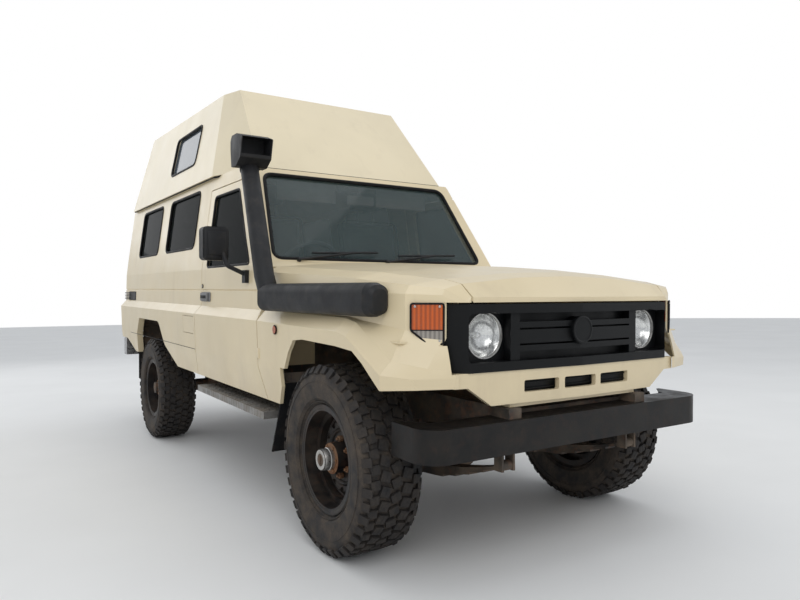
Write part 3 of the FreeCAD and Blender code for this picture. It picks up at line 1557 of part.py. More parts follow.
def bumper_channel(front_deep, side_deep, end_deep, z0, z1):
    """What is open behind the bumper's front and side walls, from one height to another."""
    half = bumper_half
    far = bumper_end_y + bumper_corner * 2
    return rounded_along_z([(-half + side_deep, bumper_front_y + front_deep),
                            (half - side_deep, bumper_front_y + front_deep),
                            (half - side_deep, bumper_front_y + bumper_deep + bumper_corner / 4),
                            (half - end_deep, bumper_end_y), (half - end_deep, far),
                            (-half + end_deep, far), (-half + end_deep, bumper_end_y),
                            (-half + side_deep, bumper_front_y + bumper_deep + bumper_corner / 4)],
                           bumper_wall * 2, z0, z1)


def front_bumper():
    """Channel-section steel bumper with rounded corners and returned ends."""
    low = bumper_top - bumper_high
    half = bumper_half
    outer = rounded_along_z(rectangle(-half, half, bumper_front_y, bumper_end_y + bumper_corner * 2),
                            bumper_corner, low, bumper_top)
    solid = outer.common(block(-half, half, bumper_front_y, bumper_end_y, low, bumper_top))
    upper = bumper_channel(bumper_deep, bumper_side_deep, bumper_end_deep, low - overrun, bumper_top + overrun)
    lower = bumper_channel(bumper_low_deep, bumper_low_deep, bumper_end_deep, low - overrun, low + bumper_wall * 2)
    hollow = rounded_along_z(rectangle(-half + bumper_wall, half - bumper_wall, bumper_front_y + bumper_wall,
                                       bumper_end_y + bumper_corner * 2),
                             bumper_corner - bumper_wall, low + bumper_wall, bumper_top - bumper_wall)
    return solid.cut(Part.makeCompound([upper, lower, hollow]))



def rear_bumpers():
    """Short chromed corner pieces low on each side of the tail."""
    y = y_body_rear
    block_out = block(rear_bumper_inner, body_half_sill - clear_gap, y - overrun, y + wall, z_tail_corner
                      - rear_bumper_high - clear_gap, z_tail_corner - clear_gap)
    bracket = block(rail_x, rear_bumper_inner + overrun, y - overrun * 2, y - overrun + weld_lap,
                    z_tail_corner - rear_bumper_high, z_tail_corner - overrun / 2)
    return pair(fused([block_out, bracket]))


def side_steps():
    """Chequer-plate step along each sill on brackets from the frame rail."""
    tread = block(step_inner, step_outer, step_y0, step_y1, step_top - step_thick, step_top)
    underside = block(step_inner + trim_proud, step_outer - trim_proud, step_y0 + trim_proud, step_y1 - trim_proud,
                      step_top - step_thick - overrun, step_top - trim_proud * 2)
    parts = [tread.cut(underside)]
    for share in (0.2, 0.8):
        y = step_y0 + share * (step_y1 - step_y0)
        parts.append(block(rail_x + rail_wide / 2, step_outer - trim_proud * 2, y, y + step_bracket,
                           step_top - trim_proud * 2, step_top - step_thick))
        parts.append(block(rail_x + rail_wide / 2, rail_x + rail_wide, y, y + step_bracket,
                           step_top - step_thick, rail_bottom + rail_wide))
    return pair(fused(parts))


def mud_flaps():
    """Rubber flaps behind the front and rear wheels."""
    front = along_x([(flap_y, flap_top), (flap_y + flap_thick, flap_top), (flap_low_y + flap_thick, flap_bottom),
                     (flap_low_y, flap_bottom)], flap_inner, flap_outer)
    rear = block(flap_inner, flap_outer, rear_flap_y, rear_flap_y + flap_thick, rear_flap_bottom, rear_flap_top)
    return pair(together([front, rear]))


# Snorkel and wipers
def snorkel_section(y, share):
    """Rounded section of the snorkel's box at y, its size scaled by a share."""
    along = (y - snorkel_y0) / (snorkel_y1 - snorkel_y0)
    x_mid = (body_half_ledge + body_half_groove + trim_proud + snorkel_proud) / 2 - snorkel_skew * (1 - along)
    half_x = (body_half_groove + snorkel_proud - body_half_ledge - trim_proud) * share / 2
    half_z = snorkel_high * share / 2
    z_mid = snorkel_z0 + snorkel_high / 2
    points = [V(x, y, z) for x, z in rectangle(x_mid - half_x, x_mid + half_x, z_mid - half_z, z_mid + half_z)]
    return rounded_points(points, snorkel_round * share)


def snorkel_box():
    """The snorkel's long box, set beside the wing and nearer to it at the front."""
    soft = snorkel_round / 2
    stations = [(snorkel_y0, snorkel_end_share), (snorkel_y0 + soft / 2, snorkel_mid_share),
                (snorkel_y0 + soft * 2, 1), (snorkel_y1 - soft * 2, 1), (snorkel_y1, snorkel_end_share)]
    return Part.makeLoft([snorkel_section(y, share) for y, share in stations], True, True)



def snorkel_head():
    """Ram head of the snorkel, open to the front behind an overhanging lip."""
    half = snorkel_head_wide / 2
    mid = snorkel_head_y
    deep = snorkel_head_deep / 2
    low = snorkel_head_z
    top = snorkel_head_z + snorkel_head_high
    side = [(mid - deep, low + snorkel_clamp_width), (mid - snorkel_head_lip / 2, low - clear_gap),
            (mid + snorkel_head_lip / 2, low - clear_gap), (mid + deep / 2, top - snorkel_head_lip),
            (mid + deep / 2, top - snorkel_clamp_width), (mid + snorkel_clamp_width, top),
            (mid - deep / 2, top), (mid - deep - snorkel_clamp_width, top - snorkel_clamp_width)]
    solid = rounded_along_x(side, snorkel_clamp_width / 3, snorkel_head_x - half, snorkel_head_x + half)
    mouth = [(mid - deep * 2, low + snorkel_clamp_width + bumper_wall * 2), (mid, low + snorkel_clamp_width * 2),
             (mid, top - bumper_wall * 2), (mid - deep * 2, top - bumper_wall * 6)]
    return solid.cut(along_x(mouth, snorkel_head_x - half + bumper_wall, snorkel_head_x + half - bumper_wall))


def snorkel():
    """Raised air intake on the right side: box along the wing, riser by the pillar and a head."""
    x_mid = body_half_groove + snorkel_proud / 2
    z_mid = snorkel_z0 + snorkel_high / 2
    knee_z = z_mid + snorkel_knee_rise
    neck = V(snorkel_head_x, snorkel_head_y, snorkel_head_z)
    knee = V(x_mid, snorkel_bend_y, knee_z)
    start = V(x_mid, snorkel_knee_y, z_mid)
    riser = bent_tube([start, knee, neck], snorkel_riser_radius, snorkel_riser_radius * 2)
    along = (neck - knee).normalize()
    clamp = rod(neck - along * snorkel_clamp_width, neck, snorkel_riser_radius + trim_proud)
    return mirrored(fused([snorkel_box(), riser, clamp, snorkel_head()]))











def wiper(pivot_x, tip_x):
    """One wiper: arm from the cowl and a straight blade that lies on the glass."""
    lift = screen_normal() * -clear_gap
    pivot = screen_point(pivot_x, -0.02) + lift
    middle = screen_point((pivot_x + tip_x) / 2 + wiper_blade_half / 3, 0.07) + lift
    blade_start = screen_point(pivot_x + wiper_blade_half / 3, 0.055) + lift
    blade_end = screen_point(tip_x, 0.085) + lift
    return fused([rod(pivot - screen_normal() * -clear_gap * 3, pivot, wiper_radius * 2),
                  Part.makeSphere(wiper_radius * 2, pivot), rod(pivot, middle, wiper_radius),
                  rod(blade_start, blade_end, wiper_radius)])


def wipers():
    reach = 2 * wiper_blade_half
    return together([wiper(-screen_low_half * 0.8, -screen_low_half * 0.8 + reach),
                     wiper(0, reach)])


# Tail and rear doors
def inner_section(gap):
    """Closed (x, z) outline that fills the space between the two body sides."""
    right = [(outer_half(z) - wall - gap, z) for z in (z_tail_corner, z_seam, z_ridge, z_ledge, z_belt,
                                                       z_window_low, z_window_top, z_gutter)]
    return right + [(-x, z) for x, z in reversed(right)]


def tail_door_half(z):
    """Half width of the rear door opening at height z."""
    share = (z - tail_door_low) / (tail_door_top - tail_door_low)
    return tail_door_half_low + share * (tail_door_half_top - tail_door_half_low)


def tail_opening(grow):
    low = tail_door_low - grow
    top = tail_door_top + grow
    return [(-tail_door_half_low - grow, low), (tail_door_half_low + grow, low),
            (tail_door_half_top + grow, top), (-tail_door_half_top - grow, top)]


def body_tail():
    """Frame round the rear doors: sill, posts and header between the body sides."""
    y0 = y_body_rear - tail_thick
    plate = along_y(inner_section(0), y0, y_body_rear)
    return plate.cut(along_y(tail_opening(tail_gap), y0 - overrun, y_body_rear + overrun))


def tail_door(x0, x1, window_x0, window_x1):
    """One rear door between two x values, tapered with the opening, its window cut."""
    y0 = y_body_rear - tail_thick
    leaf_plate = along_y(tail_opening(0), y0, y_body_rear)
    leaf_plate = leaf_plate.common(block(x0, x1, y0, y_body_rear, tail_door_low, tail_door_top))
    window = rounded_along_y(rectangle(window_x0, window_x1, tail_window_low, tail_window_top), window_corner,
                             y0 - overrun, y_body_rear + overrun)
    return leaf_plate.cut(window)


def tail_window_x(side):
    """Window edges of the rear door: side -1 is the wide right door, +1 the narrow left one."""
    edge = tail_door_half(tail_window_top) - tail_frame
    if side < 0:
        return -edge, tail_split_x - tail_frame
    return tail_split_x + tail_frame, edge


def rear_door_right():
    x0, x1 = tail_window_x(-1)
    leaf_plate = tail_door(-tail_door_half_low, tail_split_x - tail_gap / 2, x0, x1)
    disc_y = y_body_rear + spare_gap + tyre_width / 2 + rim_disc_offset - rim_wall * 2
    arm = rod(V(spare_x, y_body_rear - weld_lap, spare_z), V(spare_x, disc_y, spare_z), spare_mount_radius)
    return fused([leaf_plate, arm])


def rear_door_left():
    x0, x1 = tail_window_x(1)
    leaf_plate = tail_door(tail_split_x + tail_gap / 2, tail_door_half_low, x0, x1)
    handle_x = tail_split_x + tail_frame / 2
    handle = block(handle_x, handle_x + handle_long, y_body_rear - weld_lap, y_body_rear + handle_proud,
                   handle_z - handle_high / 2, handle_z)
    return fused([leaf_plate, handle])


def tail_glass(side):
    x0, x1 = tail_window_x(side)
    y0 = y_body_rear - glass_inset - glass_thick
    return rounded_along_y(rectangle(x0, x1, tail_window_low, tail_window_top), window_corner, y0,
                           y0 + glass_thick)


def tail_lamps():
    """Upright rear lamps on the posts beside the doors."""
    plate = block(tail_lamp_x0, tail_lamp_x1, y_body_rear, y_body_rear + tail_lamp_deep, tail_lamp_z0,
                  tail_lamp_z1)
    return pair(plate)


def turned_to_rear(shape):
    """Turn a wheel piece from its X axis to face the rear, at the spare wheel's place."""
    shape = shape.copy()
    shape.rotate(ORIGIN, Z_AXIS, 90)
    shape.translate(V(spare_x, y_body_rear + spare_gap + tyre_width / 2, spare_z))
    return shape


def spare_tyre():
    return turned_to_rear(tyre(0, 0, 0))


def spare_rim():
    barrel = turned_x(rim_profile(1), 0, 0, 0)
    disc = turned_x(rim_disc_profile(1), 0, 0, 0)
    vent = disc_x(0, rim_vent_circle, rim_vent_radius, 0, overrun)
    disc = disc.cut(Part.makeCompound(around(vent, rim_vents, 0, 0)))
    stud = disc_x(0, stud_circle, stud_radius, rim_disc_offset - rim_wall * 2, rim_disc_offset + stud_length / 2)
    cap = disc_x(0, 0, hub_radius, rim_disc_offset - rim_wall * 2, rim_disc_offset)
    return turned_to_rear(fused([barrel, disc, cap] + around(stud, studs, 0, 0)))


# Floor and cab
def wheelhouse_outline(grow):
    top = wheelhouse_top + grow
    return [(wheelhouse_y0 - grow, 0), (wheelhouse_y0 - grow, load_floor_z), (rear_arch_front_top - grow, top),
            (rear_arch_rear_top + grow, top), (wheelhouse_y1 + grow, load_floor_z), (wheelhouse_y1 + grow, 0)]


def floor_pan():
    """Cab floor, step up to the load floor, sills, bulkhead and the boxes over the rear wheels."""
    half = floor_half
    outline = [(cowl_front_y, floor_z), (load_floor_y, floor_z), (load_floor_y, load_floor_z),
               (y_body_rear - tail_thick, load_floor_z),
               (y_body_rear - tail_thick, load_floor_z + floor_thick), (load_floor_y - floor_thick, load_floor_z
               + floor_thick), (load_floor_y - floor_thick, floor_z + floor_thick),
               (cowl_front_y, floor_z + floor_thick)]
    pan = along_x(outline, -half, half)
    bulkhead = block(-half + wall, half - wall, cowl_front_y, cowl_front_y + floor_thick, floor_z, cowl_z - overrun)
    parts = [pan, bulkhead]
    cuts = []
    for side in (-1, 1):
        parts.append(block(side * (half - sill_wide), side * half, y_door_front + wall, rear_arch_front_low - wall,
                           z_sill + clear_gap, floor_z + floor_thick))
        skin = arch_liner_thick
        parts.append(along_x(wheelhouse_outline(skin), side * (wheelhouse_in - skin), side * half))
        cuts.append(along_x(wheelhouse_outline(0), side * wheelhouse_in, side * (half + overrun)))
    body = fused(parts).cut(Part.makeCompound(cuts))
    keep = block(-half, half, cowl_front_y, y_body_rear - tail_thick, z_sill, z_gutter)
    return body.common(keep)


def seat(x):
    """Front seat: cushion on a boxed foot, leaning back and head rest."""
    half = seat_wide / 2
    inset = seat_foot_inset
    foot = block(x - half + inset, x + half - inset, seat_y0 + inset, seat_y1 - inset, floor_z + floor_thick,
                 seat_base_z)
    cushion = rounded_along_x(rectangle(seat_y0, seat_y1, seat_base_z, seat_base_z + seat_cushion),
                              seat_cushion / 4, x - half, x + half)
    top_z = seat_base_z + seat_cushion + seat_back_high
    back_y = seat_y1 - seat_back_thick
    low_z = seat_base_z + seat_cushion / 2
    back = rounded_along_x([(back_y, low_z), (back_y + seat_back_thick, low_z),
                            (back_y + seat_back_thick + seat_back_lean, top_z),
                            (back_y + seat_back_lean, top_z)], seat_back_thick / 4, x - half, x + half)
    head_y = back_y + seat_back_lean + (seat_back_thick - head_thick) / 2
    head = rounded_along_x(rectangle(head_y, head_y + head_thick, top_z + head_lift, top_z + head_lift + head_high),
                           head_thick / 4, x - head_wide / 2, x + head_wide / 2)
    posts = []
    for side in (-1, 1):
        post_x = x + side * head_wide / 4
        post_y = head_y + head_thick / 2
        posts.append(Part.makeCylinder(mirror_arm_radius / 2, head_lift * 3, V(post_x, post_y, top_z - head_lift)))
    return fused([foot, cushion, back, head] + posts)


def seats():
    return together([seat(-seat_x), seat(seat_x)])


def dashboard():
    """Dashboard across the cab under the windscreen with a brow before the driver."""
    half = outer_half(z_ledge) - wall - clear_gap
    outline = [(dash_y0, dash_z0), (dash_y0, dash_z1 - overrun / 2), (dash_y0 + wall, dash_z1),
               (dash_y1 - dash_brow, dash_z1), (dash_y1, dash_z1 - overrun), (dash_y1, dash_z0 + overrun),
               (dash_y1 - dash_brow, dash_z0)]
    return along_x(outline, -half, half)


def steering_wheel():
    """Steering wheel with three spokes, its boss and column down into the dashboard."""
    centre = V(0, 0, 0)
    ring = Part.makeTorus(wheel_grip_radius, wheel_grip_section, centre, Z_AXIS)
    boss = Part.makeCylinder(wheel_boss_radius, wheel_grip_section * 3, V(0, 0, -wheel_grip_section * 1.5))
    spokes = []
    for index in range(wheel_spokes):
        bar = block(wheel_boss_radius / 2, wheel_grip_radius, -wheel_grip_section, wheel_grip_section,
                    -wheel_grip_section / 2, wheel_grip_section / 2)
        bar.rotate(centre, Z_AXIS, 90 + index * 360 / wheel_spokes)
        spokes.append(bar)
    column = Part.makeCylinder(column_radius, wheel_grip_radius, V(0, 0, -wheel_grip_radius))
    shape = fused([ring, boss, column] + spokes)
    shape.rotate(centre, X_AXIS, -(90 - wheel_lean_deg))
    shape.translate(V(wheel_x, wheel_y, wheel_z))
    return shape.cut(dashboard())


# Placing and writing the pieces
def left_and_right(name, shape):
    """Two nodes: the left piece as modelled and its mirror image on the right."""
    return {name + "_left": shape, name + "_right": mirrored(shape)}


def sprung_nodes():
    """Every piece that the springs carry, level, before the rake."""
    nodes = {
        "chassis_frame": chassis_frame(), "fuel_tank": fuel_tank(), "exhaust": exhaust(),
        "floor_pan": floor_pan(), "body_sides": body_sides(), "windscreen_frame": windscreen_frame(),
        "high_roof": high_roof(), "windscreen_glass": windscreen_glass(), "quarter_glass": quarter_glass(),
        "roof_glass": roof_glass(), "fuel_flap": fuel_flap(), "side_vents": side_vents(), "bonnet": bonnet(),
        "grille": grille(), "headlamps": headlamps(), "signal_lamps": signal_lamps(),
        "tail_lamps": tail_lamps(), "front_panel": front_panel(), "front_bumper": front_bumper(),
        "rear_bumpers": rear_bumpers(), "side_steps": side_steps(), "rear_door_right": rear_door_right(),
        "rear_door_left": rear_door_left(), "rear_glass_right": tail_glass(-1),
        "rear_glass_left": tail_glass(1), "spare_tyre": spare_tyre(), "spare_rim": spare_rim(),
        "steering_wheel": steering_wheel(), "seats": seats(),
    }
    nodes["body_tail"] = seated(body_tail(), nodes["body_sides"])
    nodes["front_wings"] = seated(pair(wing()), nodes["signal_lamps"], nodes["grille"])
    nodes["mud_flaps"] = seated(mud_flaps(), nodes["body_sides"], nodes["front_wings"])
    nodes["dashboard"] = seated(dashboard(), nodes["windscreen_frame"])
    nodes["wipers"] = seated(wipers(), nodes["windscreen_frame"])
    nodes["snorkel"] = seated(snorkel(), mirrored(wing_fill()))
    nodes.update(left_and_right("door", door()))
    nodes.update(left_and_right("door_glass", door_glass()))
    nodes["mirror_right"] = mirrored(seated(mirror_unit(), door()))
    nodes["front_bumper"] = seated(front_bumper(), nodes["chassis_frame"])
    return nodes


def unsprung_nodes():
    """Wheels, axles, springs and shafts, which stand square on the floor."""
    frame = raked(chassis_frame())
    axles = together([front_axle(), rear_axle()])
    nodes = {
        "front_axle": front_axle(), "rear_axle": rear_axle(), "tie_rod": tie_rod(),
        "leaf_springs": seated(leaf_springs(), frame, axles),
        "shock_absorbers": seated(shock_absorbers(), frame, axles),
        "powertrain": seated(powertrain(), frame),
    }
    nodes["prop_shafts"] = seated(prop_shafts(), axles, nodes["powertrain"])
    for side, name in ((1, "left"), (-1, "right")):
        nodes["knuckle_" + name] = knuckle(side)
        front = side * half_front_track
        rear = side * half_rear_track
        nodes["tyre_front_" + name] = tyre(front, 0, axle_z)
        nodes["tyre_rear_" + name] = tyre(rear, wheelbase, axle_z)
        nodes["rim_front_" + name] = wheel_rim(front, 0, axle_z, side, hub_length, spindle_radius)
        nodes["rim_rear_" + name] = wheel_rim(rear, wheelbase, axle_z, side, lock_length, spindle_radius)
    return nodes


def main():
    os.makedirs("parts", exist_ok=True)
    nodes = {name: raked(shape) for name, shape in sprung_nodes().items()}
    nodes.update(unsprung_nodes())
    front_end = nodes["front_bumper"].BoundBox.YMin
    rear_end = nodes["spare_tyre"].BoundBox.YMax
    right_end = min(shape.BoundBox.XMin for shape in nodes.values())
    left_end = max(shape.BoundBox.XMax for shape in nodes.values())
    to_middle = V(-(left_end + right_end) / 2, -(front_end + rear_end) / 2, 0)
    print("centre plane at x =", round(to_middle.x, 3))
    print("front axle at y =", round(to_middle.y, 3))
    for name, shape in nodes.items():
        shape.translate(to_middle)
        shape.exportStep("parts/" + name + ".step")


main()
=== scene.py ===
import json
import math
import random
from contextlib import contextmanager

import bmesh
import bpy
from bpy.props import FloatProperty, FloatVectorProperty, IntProperty, PointerProperty
from bpy.types import Operator, Panel, PropertyGroup
from mathutils import Matrix, Vector

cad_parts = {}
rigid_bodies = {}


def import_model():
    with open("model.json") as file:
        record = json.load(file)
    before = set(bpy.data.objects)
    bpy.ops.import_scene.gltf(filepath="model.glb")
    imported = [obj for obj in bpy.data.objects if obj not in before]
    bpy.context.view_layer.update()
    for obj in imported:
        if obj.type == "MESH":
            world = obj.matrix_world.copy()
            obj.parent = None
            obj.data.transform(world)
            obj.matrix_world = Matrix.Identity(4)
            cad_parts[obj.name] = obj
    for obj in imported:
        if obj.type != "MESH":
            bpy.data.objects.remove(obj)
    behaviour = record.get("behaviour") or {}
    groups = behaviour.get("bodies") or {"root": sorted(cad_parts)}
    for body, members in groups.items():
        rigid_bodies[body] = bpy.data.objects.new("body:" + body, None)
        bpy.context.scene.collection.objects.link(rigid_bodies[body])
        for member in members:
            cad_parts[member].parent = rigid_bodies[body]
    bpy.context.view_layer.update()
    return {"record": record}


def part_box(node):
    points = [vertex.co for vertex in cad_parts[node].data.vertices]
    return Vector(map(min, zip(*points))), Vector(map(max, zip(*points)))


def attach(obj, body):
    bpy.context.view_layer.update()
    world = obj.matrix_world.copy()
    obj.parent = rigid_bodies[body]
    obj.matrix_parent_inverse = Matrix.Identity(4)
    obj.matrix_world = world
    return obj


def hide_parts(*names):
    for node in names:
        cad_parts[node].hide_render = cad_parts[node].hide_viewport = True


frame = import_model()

bl_info = {
    "name": "High-roof 4x4 dressing",
    "version": (1, 0, 0),
    "blender": (4, 5, 0),
    "location": "View3D > Sidebar > 4x4",
    "description": "Adds trim, tyres, glass seals, lamps, seats and finishes to the packed 4x4",
    "category": "Object",
}


def length(name, default, description):
    return FloatProperty(name=name, description=description, default=default, unit="LENGTH",
                         subtype="DISTANCE")


def tint(name, default, description):
    return FloatVectorProperty(name=name, description=description, default=default, size=3, min=0, max=1,
                               subtype="COLOR")


# Settings
class CarPaintSettings(PropertyGroup):
    paint: tint("Body paint", (0.72, 0.605, 0.395), "Cream enamel of the body")
    roof: tint("Roof paint", (0.74, 0.64, 0.44), "Cream gel coat of the high roof")
    dust: tint("Dust", (0.21, 0.16, 0.115), "Dry road dust")
    rust: tint("Rust", (0.13, 0.05, 0.022), "Surface rust")
    black: tint("Black plastic", (0.014, 0.0145, 0.016), "Moulded plastic of the intake, grille and mirrors")
    frame: tint("Frame paint", (0.028, 0.025, 0.023), "Black paint under the body")
    rubber: tint("Tyre rubber", (0.012, 0.012, 0.013), "Tread and side wall rubber")
    amber: tint("Amber lens", (0.60, 0.10, 0.004), "Indicator lens")
    red: tint("Red lens", (0.42, 0.012, 0.010), "Rear lamp lens")
    cloth: tint("Seat cloth", (0.085, 0.088, 0.095), "Woven seat cloth")
    plastic: tint("Cab plastic", (0.065, 0.07, 0.075), "Dashboard and wheel")
    steel: tint("Bare steel", (0.52, 0.51, 0.49), "Hub caps, bolts and bright trim")


class CarTrimSettings(PropertyGroup):
    rake: FloatProperty(name="Rake", description="Nose-down lean of the sprung body",
                        default=math.radians(1.6), subtype="ANGLE", unit="ROTATION")
    seal: length("Seal", 0.0075, "Radius of a window's rubber seal")
    thin_seal: length("Thin seal", 0.004, "Radius of the seal along the roof's joint")


class CarTyreSettings(PropertyGroup):
    radius: length("Radius", 0.3805, "Outer radius over the lugs")
    width: length("Width", 0.2585, "Width across the side walls")
    tread: length("Tread width", 0.214, "Width of the tread band")
    bead: length("Bead", 0.2045, "Radius of the bead inside the rim's flange")
    groove: length("Groove", 0.012, "Depth of the tread's grooves")
    pitches: IntProperty(name="Pitches", description="Tread blocks round the tyre", default=42, min=12,
                         max=80)
    bulge: length("Bulge", 0.303, "Radius at which the side wall is widest")


class CarSeatSettings(PropertyGroup):
    pressure: FloatProperty(name="Pressure", description="Pressure that fills the cushions", default=4.0,
                            min=0)
    cap: length("Cap", 0.024, "Furthest that a point of a cushion may move as it fills")
    voxel: length("Voxel", 0.008, "Size of the cells of a cushion's cloth")
    seam: length("Seam", 0.007, "Depth of a sewn channel")


# Places
SIDES = ((-1, "right"), (1, "left"))


def middle(node):
    """Middle of a node's box."""
    low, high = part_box(node)
    return (Vector(low) + Vector(high)) / 2


AXLE_Y = middle("tyre_front_left").y
PLANE_X = (middle("tyre_front_left").x + middle("tyre_front_right").x) / 2


def at(x, y, z):
    """A point of the sprung body in the parked frame, in metres.

    It is given on the level body, in millimetres from the centre plane, the front axle and the floor.
    """
    lean = bpy.context.scene.car_trim.rake
    y, z = y / 1000, z / 1000
    return Vector((x / 1000 + PLANE_X, y * math.cos(lean) - z * math.sin(lean) + AXLE_Y,
                   y * math.sin(lean) + z * math.cos(lean)))


def tilt():
    """Rotation that sets a level block at the rake of the body."""
    return Matrix.Rotation(bpy.context.scene.car_trim.rake, 4, "X")


# Node materials; heights and places in them are in metres in the parked frame
SCREEN_BAND_Z = (1.60, 1.74)
LENS_SPLIT_Z = (0.9105, 0.9112)
DUSTY_BELOW = 0.95
DUSTIEST_Z = 0.25


class Nodes:
    """Small helper that adds and links shader nodes."""

    def __init__(self, name):
        self.material = bpy.data.materials.new(name)
        self.material.use_nodes = True
        self.tree = self.material.node_tree
        self.tree.nodes.clear()
        self.out = self.tree.nodes.new("ShaderNodeOutputMaterial")
        self.shader = self.tree.nodes.new("ShaderNodeBsdfPrincipled")
        self.tree.links.new(self.shader.outputs["BSDF"], self.out.inputs["Surface"])
        self.coords = self.tree.nodes.new("ShaderNodeTexCoord")

    def add(self, kind, **values):
        """New node; a value goes to the node's property of that name, or else to its input."""
        node = self.tree.nodes.new(kind)
        for key, value in values.items():
            if hasattr(node, key):
                setattr(node, key, value)
            else:
                node.inputs[key].default_value = value
        return node

    def link(self, source, target):
        self.tree.links.new(source, target)

    def place(self, scale=(1, 1, 1), turn=(0, 0, 0)):
        mapping = self.add("ShaderNodeMapping", Scale=scale, Rotation=turn)
        self.link(self.coords.outputs["Object"], mapping.inputs["Vector"])
        return mapping.outputs["Vector"]

    def noise(self, scale, detail=4.0, rough=0.55, vector=None):
        node = self.add("ShaderNodeTexNoise", Scale=scale, Detail=detail, Roughness=rough)
        self.link(vector or self.place(), node.inputs["Vector"])
        return node.outputs["Fac"]

    def wave(self, scale, distortion=0.0, turn=(0, 0, 0)):
        node = self.add("ShaderNodeTexWave", Scale=scale, Distortion=distortion)
        self.link(self.place((1, 1, 1), turn), node.inputs["Vector"])
        return node.outputs["Fac"]

    def ramp(self, source, low, high, low_value=0.0, high_value=1.0):
        node = self.add("ShaderNodeMapRange", **{"From Min": low, "From Max": high, "To Min": low_value,
                                                 "To Max": high_value})
        self.link(source, node.inputs["Value"])
        return node.outputs["Result"]

    def math(self, kind, first, second):
        node = self.tree.nodes.new("ShaderNodeMath")
        node.operation = kind
        node.use_clamp = True
        for index, value in enumerate((first, second)):
            if isinstance(value, (int, float)):
                node.inputs[index].default_value = value
            else:
                self.link(value, node.inputs[index])
        return node.outputs["Value"]

    def times(self, first, second):
        return self.math("MULTIPLY", first, second)

    def patches(self, noise, low, high, amount):
        """Share of a layer that lies in patches, where the noise is between low and high."""
        return self.times(self.ramp(noise, low, high), amount)

    def mix(self, share, first, second):
        node = self.tree.nodes.new("ShaderNodeMix")
        node.data_type = "RGBA"
        self.link(share, node.inputs[0])
        for index, value in ((6, first), (7, second)):
            if isinstance(value, bpy.types.NodeSocket):
                self.link(value, node.inputs[index])
            else:
                node.inputs[index].default_value = (*value, 1.0)
        return node.outputs[2]

    def axis(self, name):
        """One of the piece's own coordinates in metres; Z is the height above the floor."""
        split = self.add("ShaderNodeSeparateXYZ")
        self.link(self.coords.outputs["Object"], split.inputs["Vector"])
        return split.outputs[name]

    def bump(self, source, strength, distance):
        node = self.add("ShaderNodeBump", Strength=strength, Distance=distance)
        self.link(source, node.inputs["Height"])
        self.link(node.outputs["Normal"], self.shader.inputs["Normal"])

    def set(self, **values):
        for key, value in values.items():
            socket = self.shader.inputs[key.replace("_", " ")]
            if isinstance(value, bpy.types.NodeSocket):
                self.link(value, socket)
            elif isinstance(value, tuple):
                socket.default_value = (*value, 1.0)
            else:
                socket.default_value = value


def colours():
    return bpy.context.scene.car_paint


def shade(colour, share):
    return tuple(min(1.0, part * share) for part in colour)


def dust(share=1.0):
    """Colour of the road dust, lighter or darker by a share."""
    return shade(tuple(colours().dust), share)


def low_dirt(mat):
    """Dust share that grows towards the floor, broken up by noise."""
    rise = mat.ramp(mat.axis("Z"), DUSTY_BELOW, DUSTIEST_Z)
    patches = mat.ramp(mat.noise(5.0, 6.0, 0.6), 0.32, 0.72, 0.15, 1.0)
    return mat.times(mat.times(rise, patches), 0.42)


def paint_material(name, base, streaks=0.14, rough=0.30, grain=260.0, relief=0.04):
    """Worn enamel: uneven tone, runs of grime, dust towards the floor and fine chips."""
    mat = Nodes(name)
    tone = mat.mix(mat.ramp(mat.noise(1.7, 3.0), 0.35, 0.65), shade(base, 0.965), shade(base, 1.03))
    streak = mat.noise(9.0, 5.0, 0.6, mat.place((1.0, 1.0, 0.12)))
    tone = mat.mix(mat.patches(streak, 0.56, 0.74, streaks), tone, dust(1.7))
    dirt = low_dirt(mat)
    tone = mat.mix(dirt, tone, dust(1.6))
    chips = mat.ramp(mat.noise(160.0, 2.0), 0.765, 0.785, 0.0, 0.55)
    tone = mat.mix(chips, tone, shade(base, 0.45))
    uneven = mat.ramp(mat.noise(6.0, 5.0), 0.3, 0.7, rough, 0.44)
    mat.set(Base_Color=tone, Roughness=mat.math("ADD", uneven, mat.times(dirt, 0.5)), Coat_Weight=0.25,
            Coat_Roughness=0.18)
    mat.bump(mat.noise(grain, 2.0), relief, 0.002)
    return mat.material


def plastic_material(name, base, rough=0.5, grain=900.0, relief=0.12, dusty=0.07, gloss=0.3):
    """Grained moulding with a little dust; its grain is the scale of a fine noise."""
    mat = Nodes(name)
    tone = mat.mix(mat.ramp(mat.noise(4.0, 5.0), 0.35, 0.7), shade(base, 0.8), shade(base, 1.35))
    tone = mat.mix(mat.patches(mat.noise(22.0, 6.0, 0.65), 0.5, 0.75, dusty), tone, dust())
    mat.set(Base_Color=tone, Roughness=mat.ramp(mat.noise(12.0, 4.0), 0.3, 0.7, rough - 0.08, rough + 0.12),
            Specular_IOR_Level=gloss)
    mat.bump(mat.noise(grain, 2.0), relief, 0.001)
    return mat.material


def dirty_metal(name, base, dusty, rusty, rough, metallic=0.0, gloss=0.35):
    """Painted or cast steel with rust and dust in patches, each by its share."""
    mat = Nodes(name)
    rust = tuple(colours().rust)
    rust_patches = mat.patches(mat.noise(28.0, 7.0, 0.65), 0.5, 0.62, rusty)
    dust_patches = mat.patches(mat.noise(9.0, 7.0, 0.6), 0.36, 0.62, dusty)
    tone = mat.mix(rust_patches, base, mat.mix(mat.noise(60.0), shade(rust, 0.6), shade(rust, 1.8)))
    tone = mat.mix(dust_patches, tone, dust())
    uneven = mat.ramp(mat.noise(18.0), 0.3, 0.7, rough - 0.1, rough + 0.1)
    mat.set(Base_Color=tone, Metallic=metallic, Specular_IOR_Level=gloss,
            Roughness=mat.math("ADD", uneven, mat.times(dust_patches, 0.35)))
    mat.bump(mat.noise(150.0, 5.0, 0.7), 0.25, 0.0015)
    return mat.material


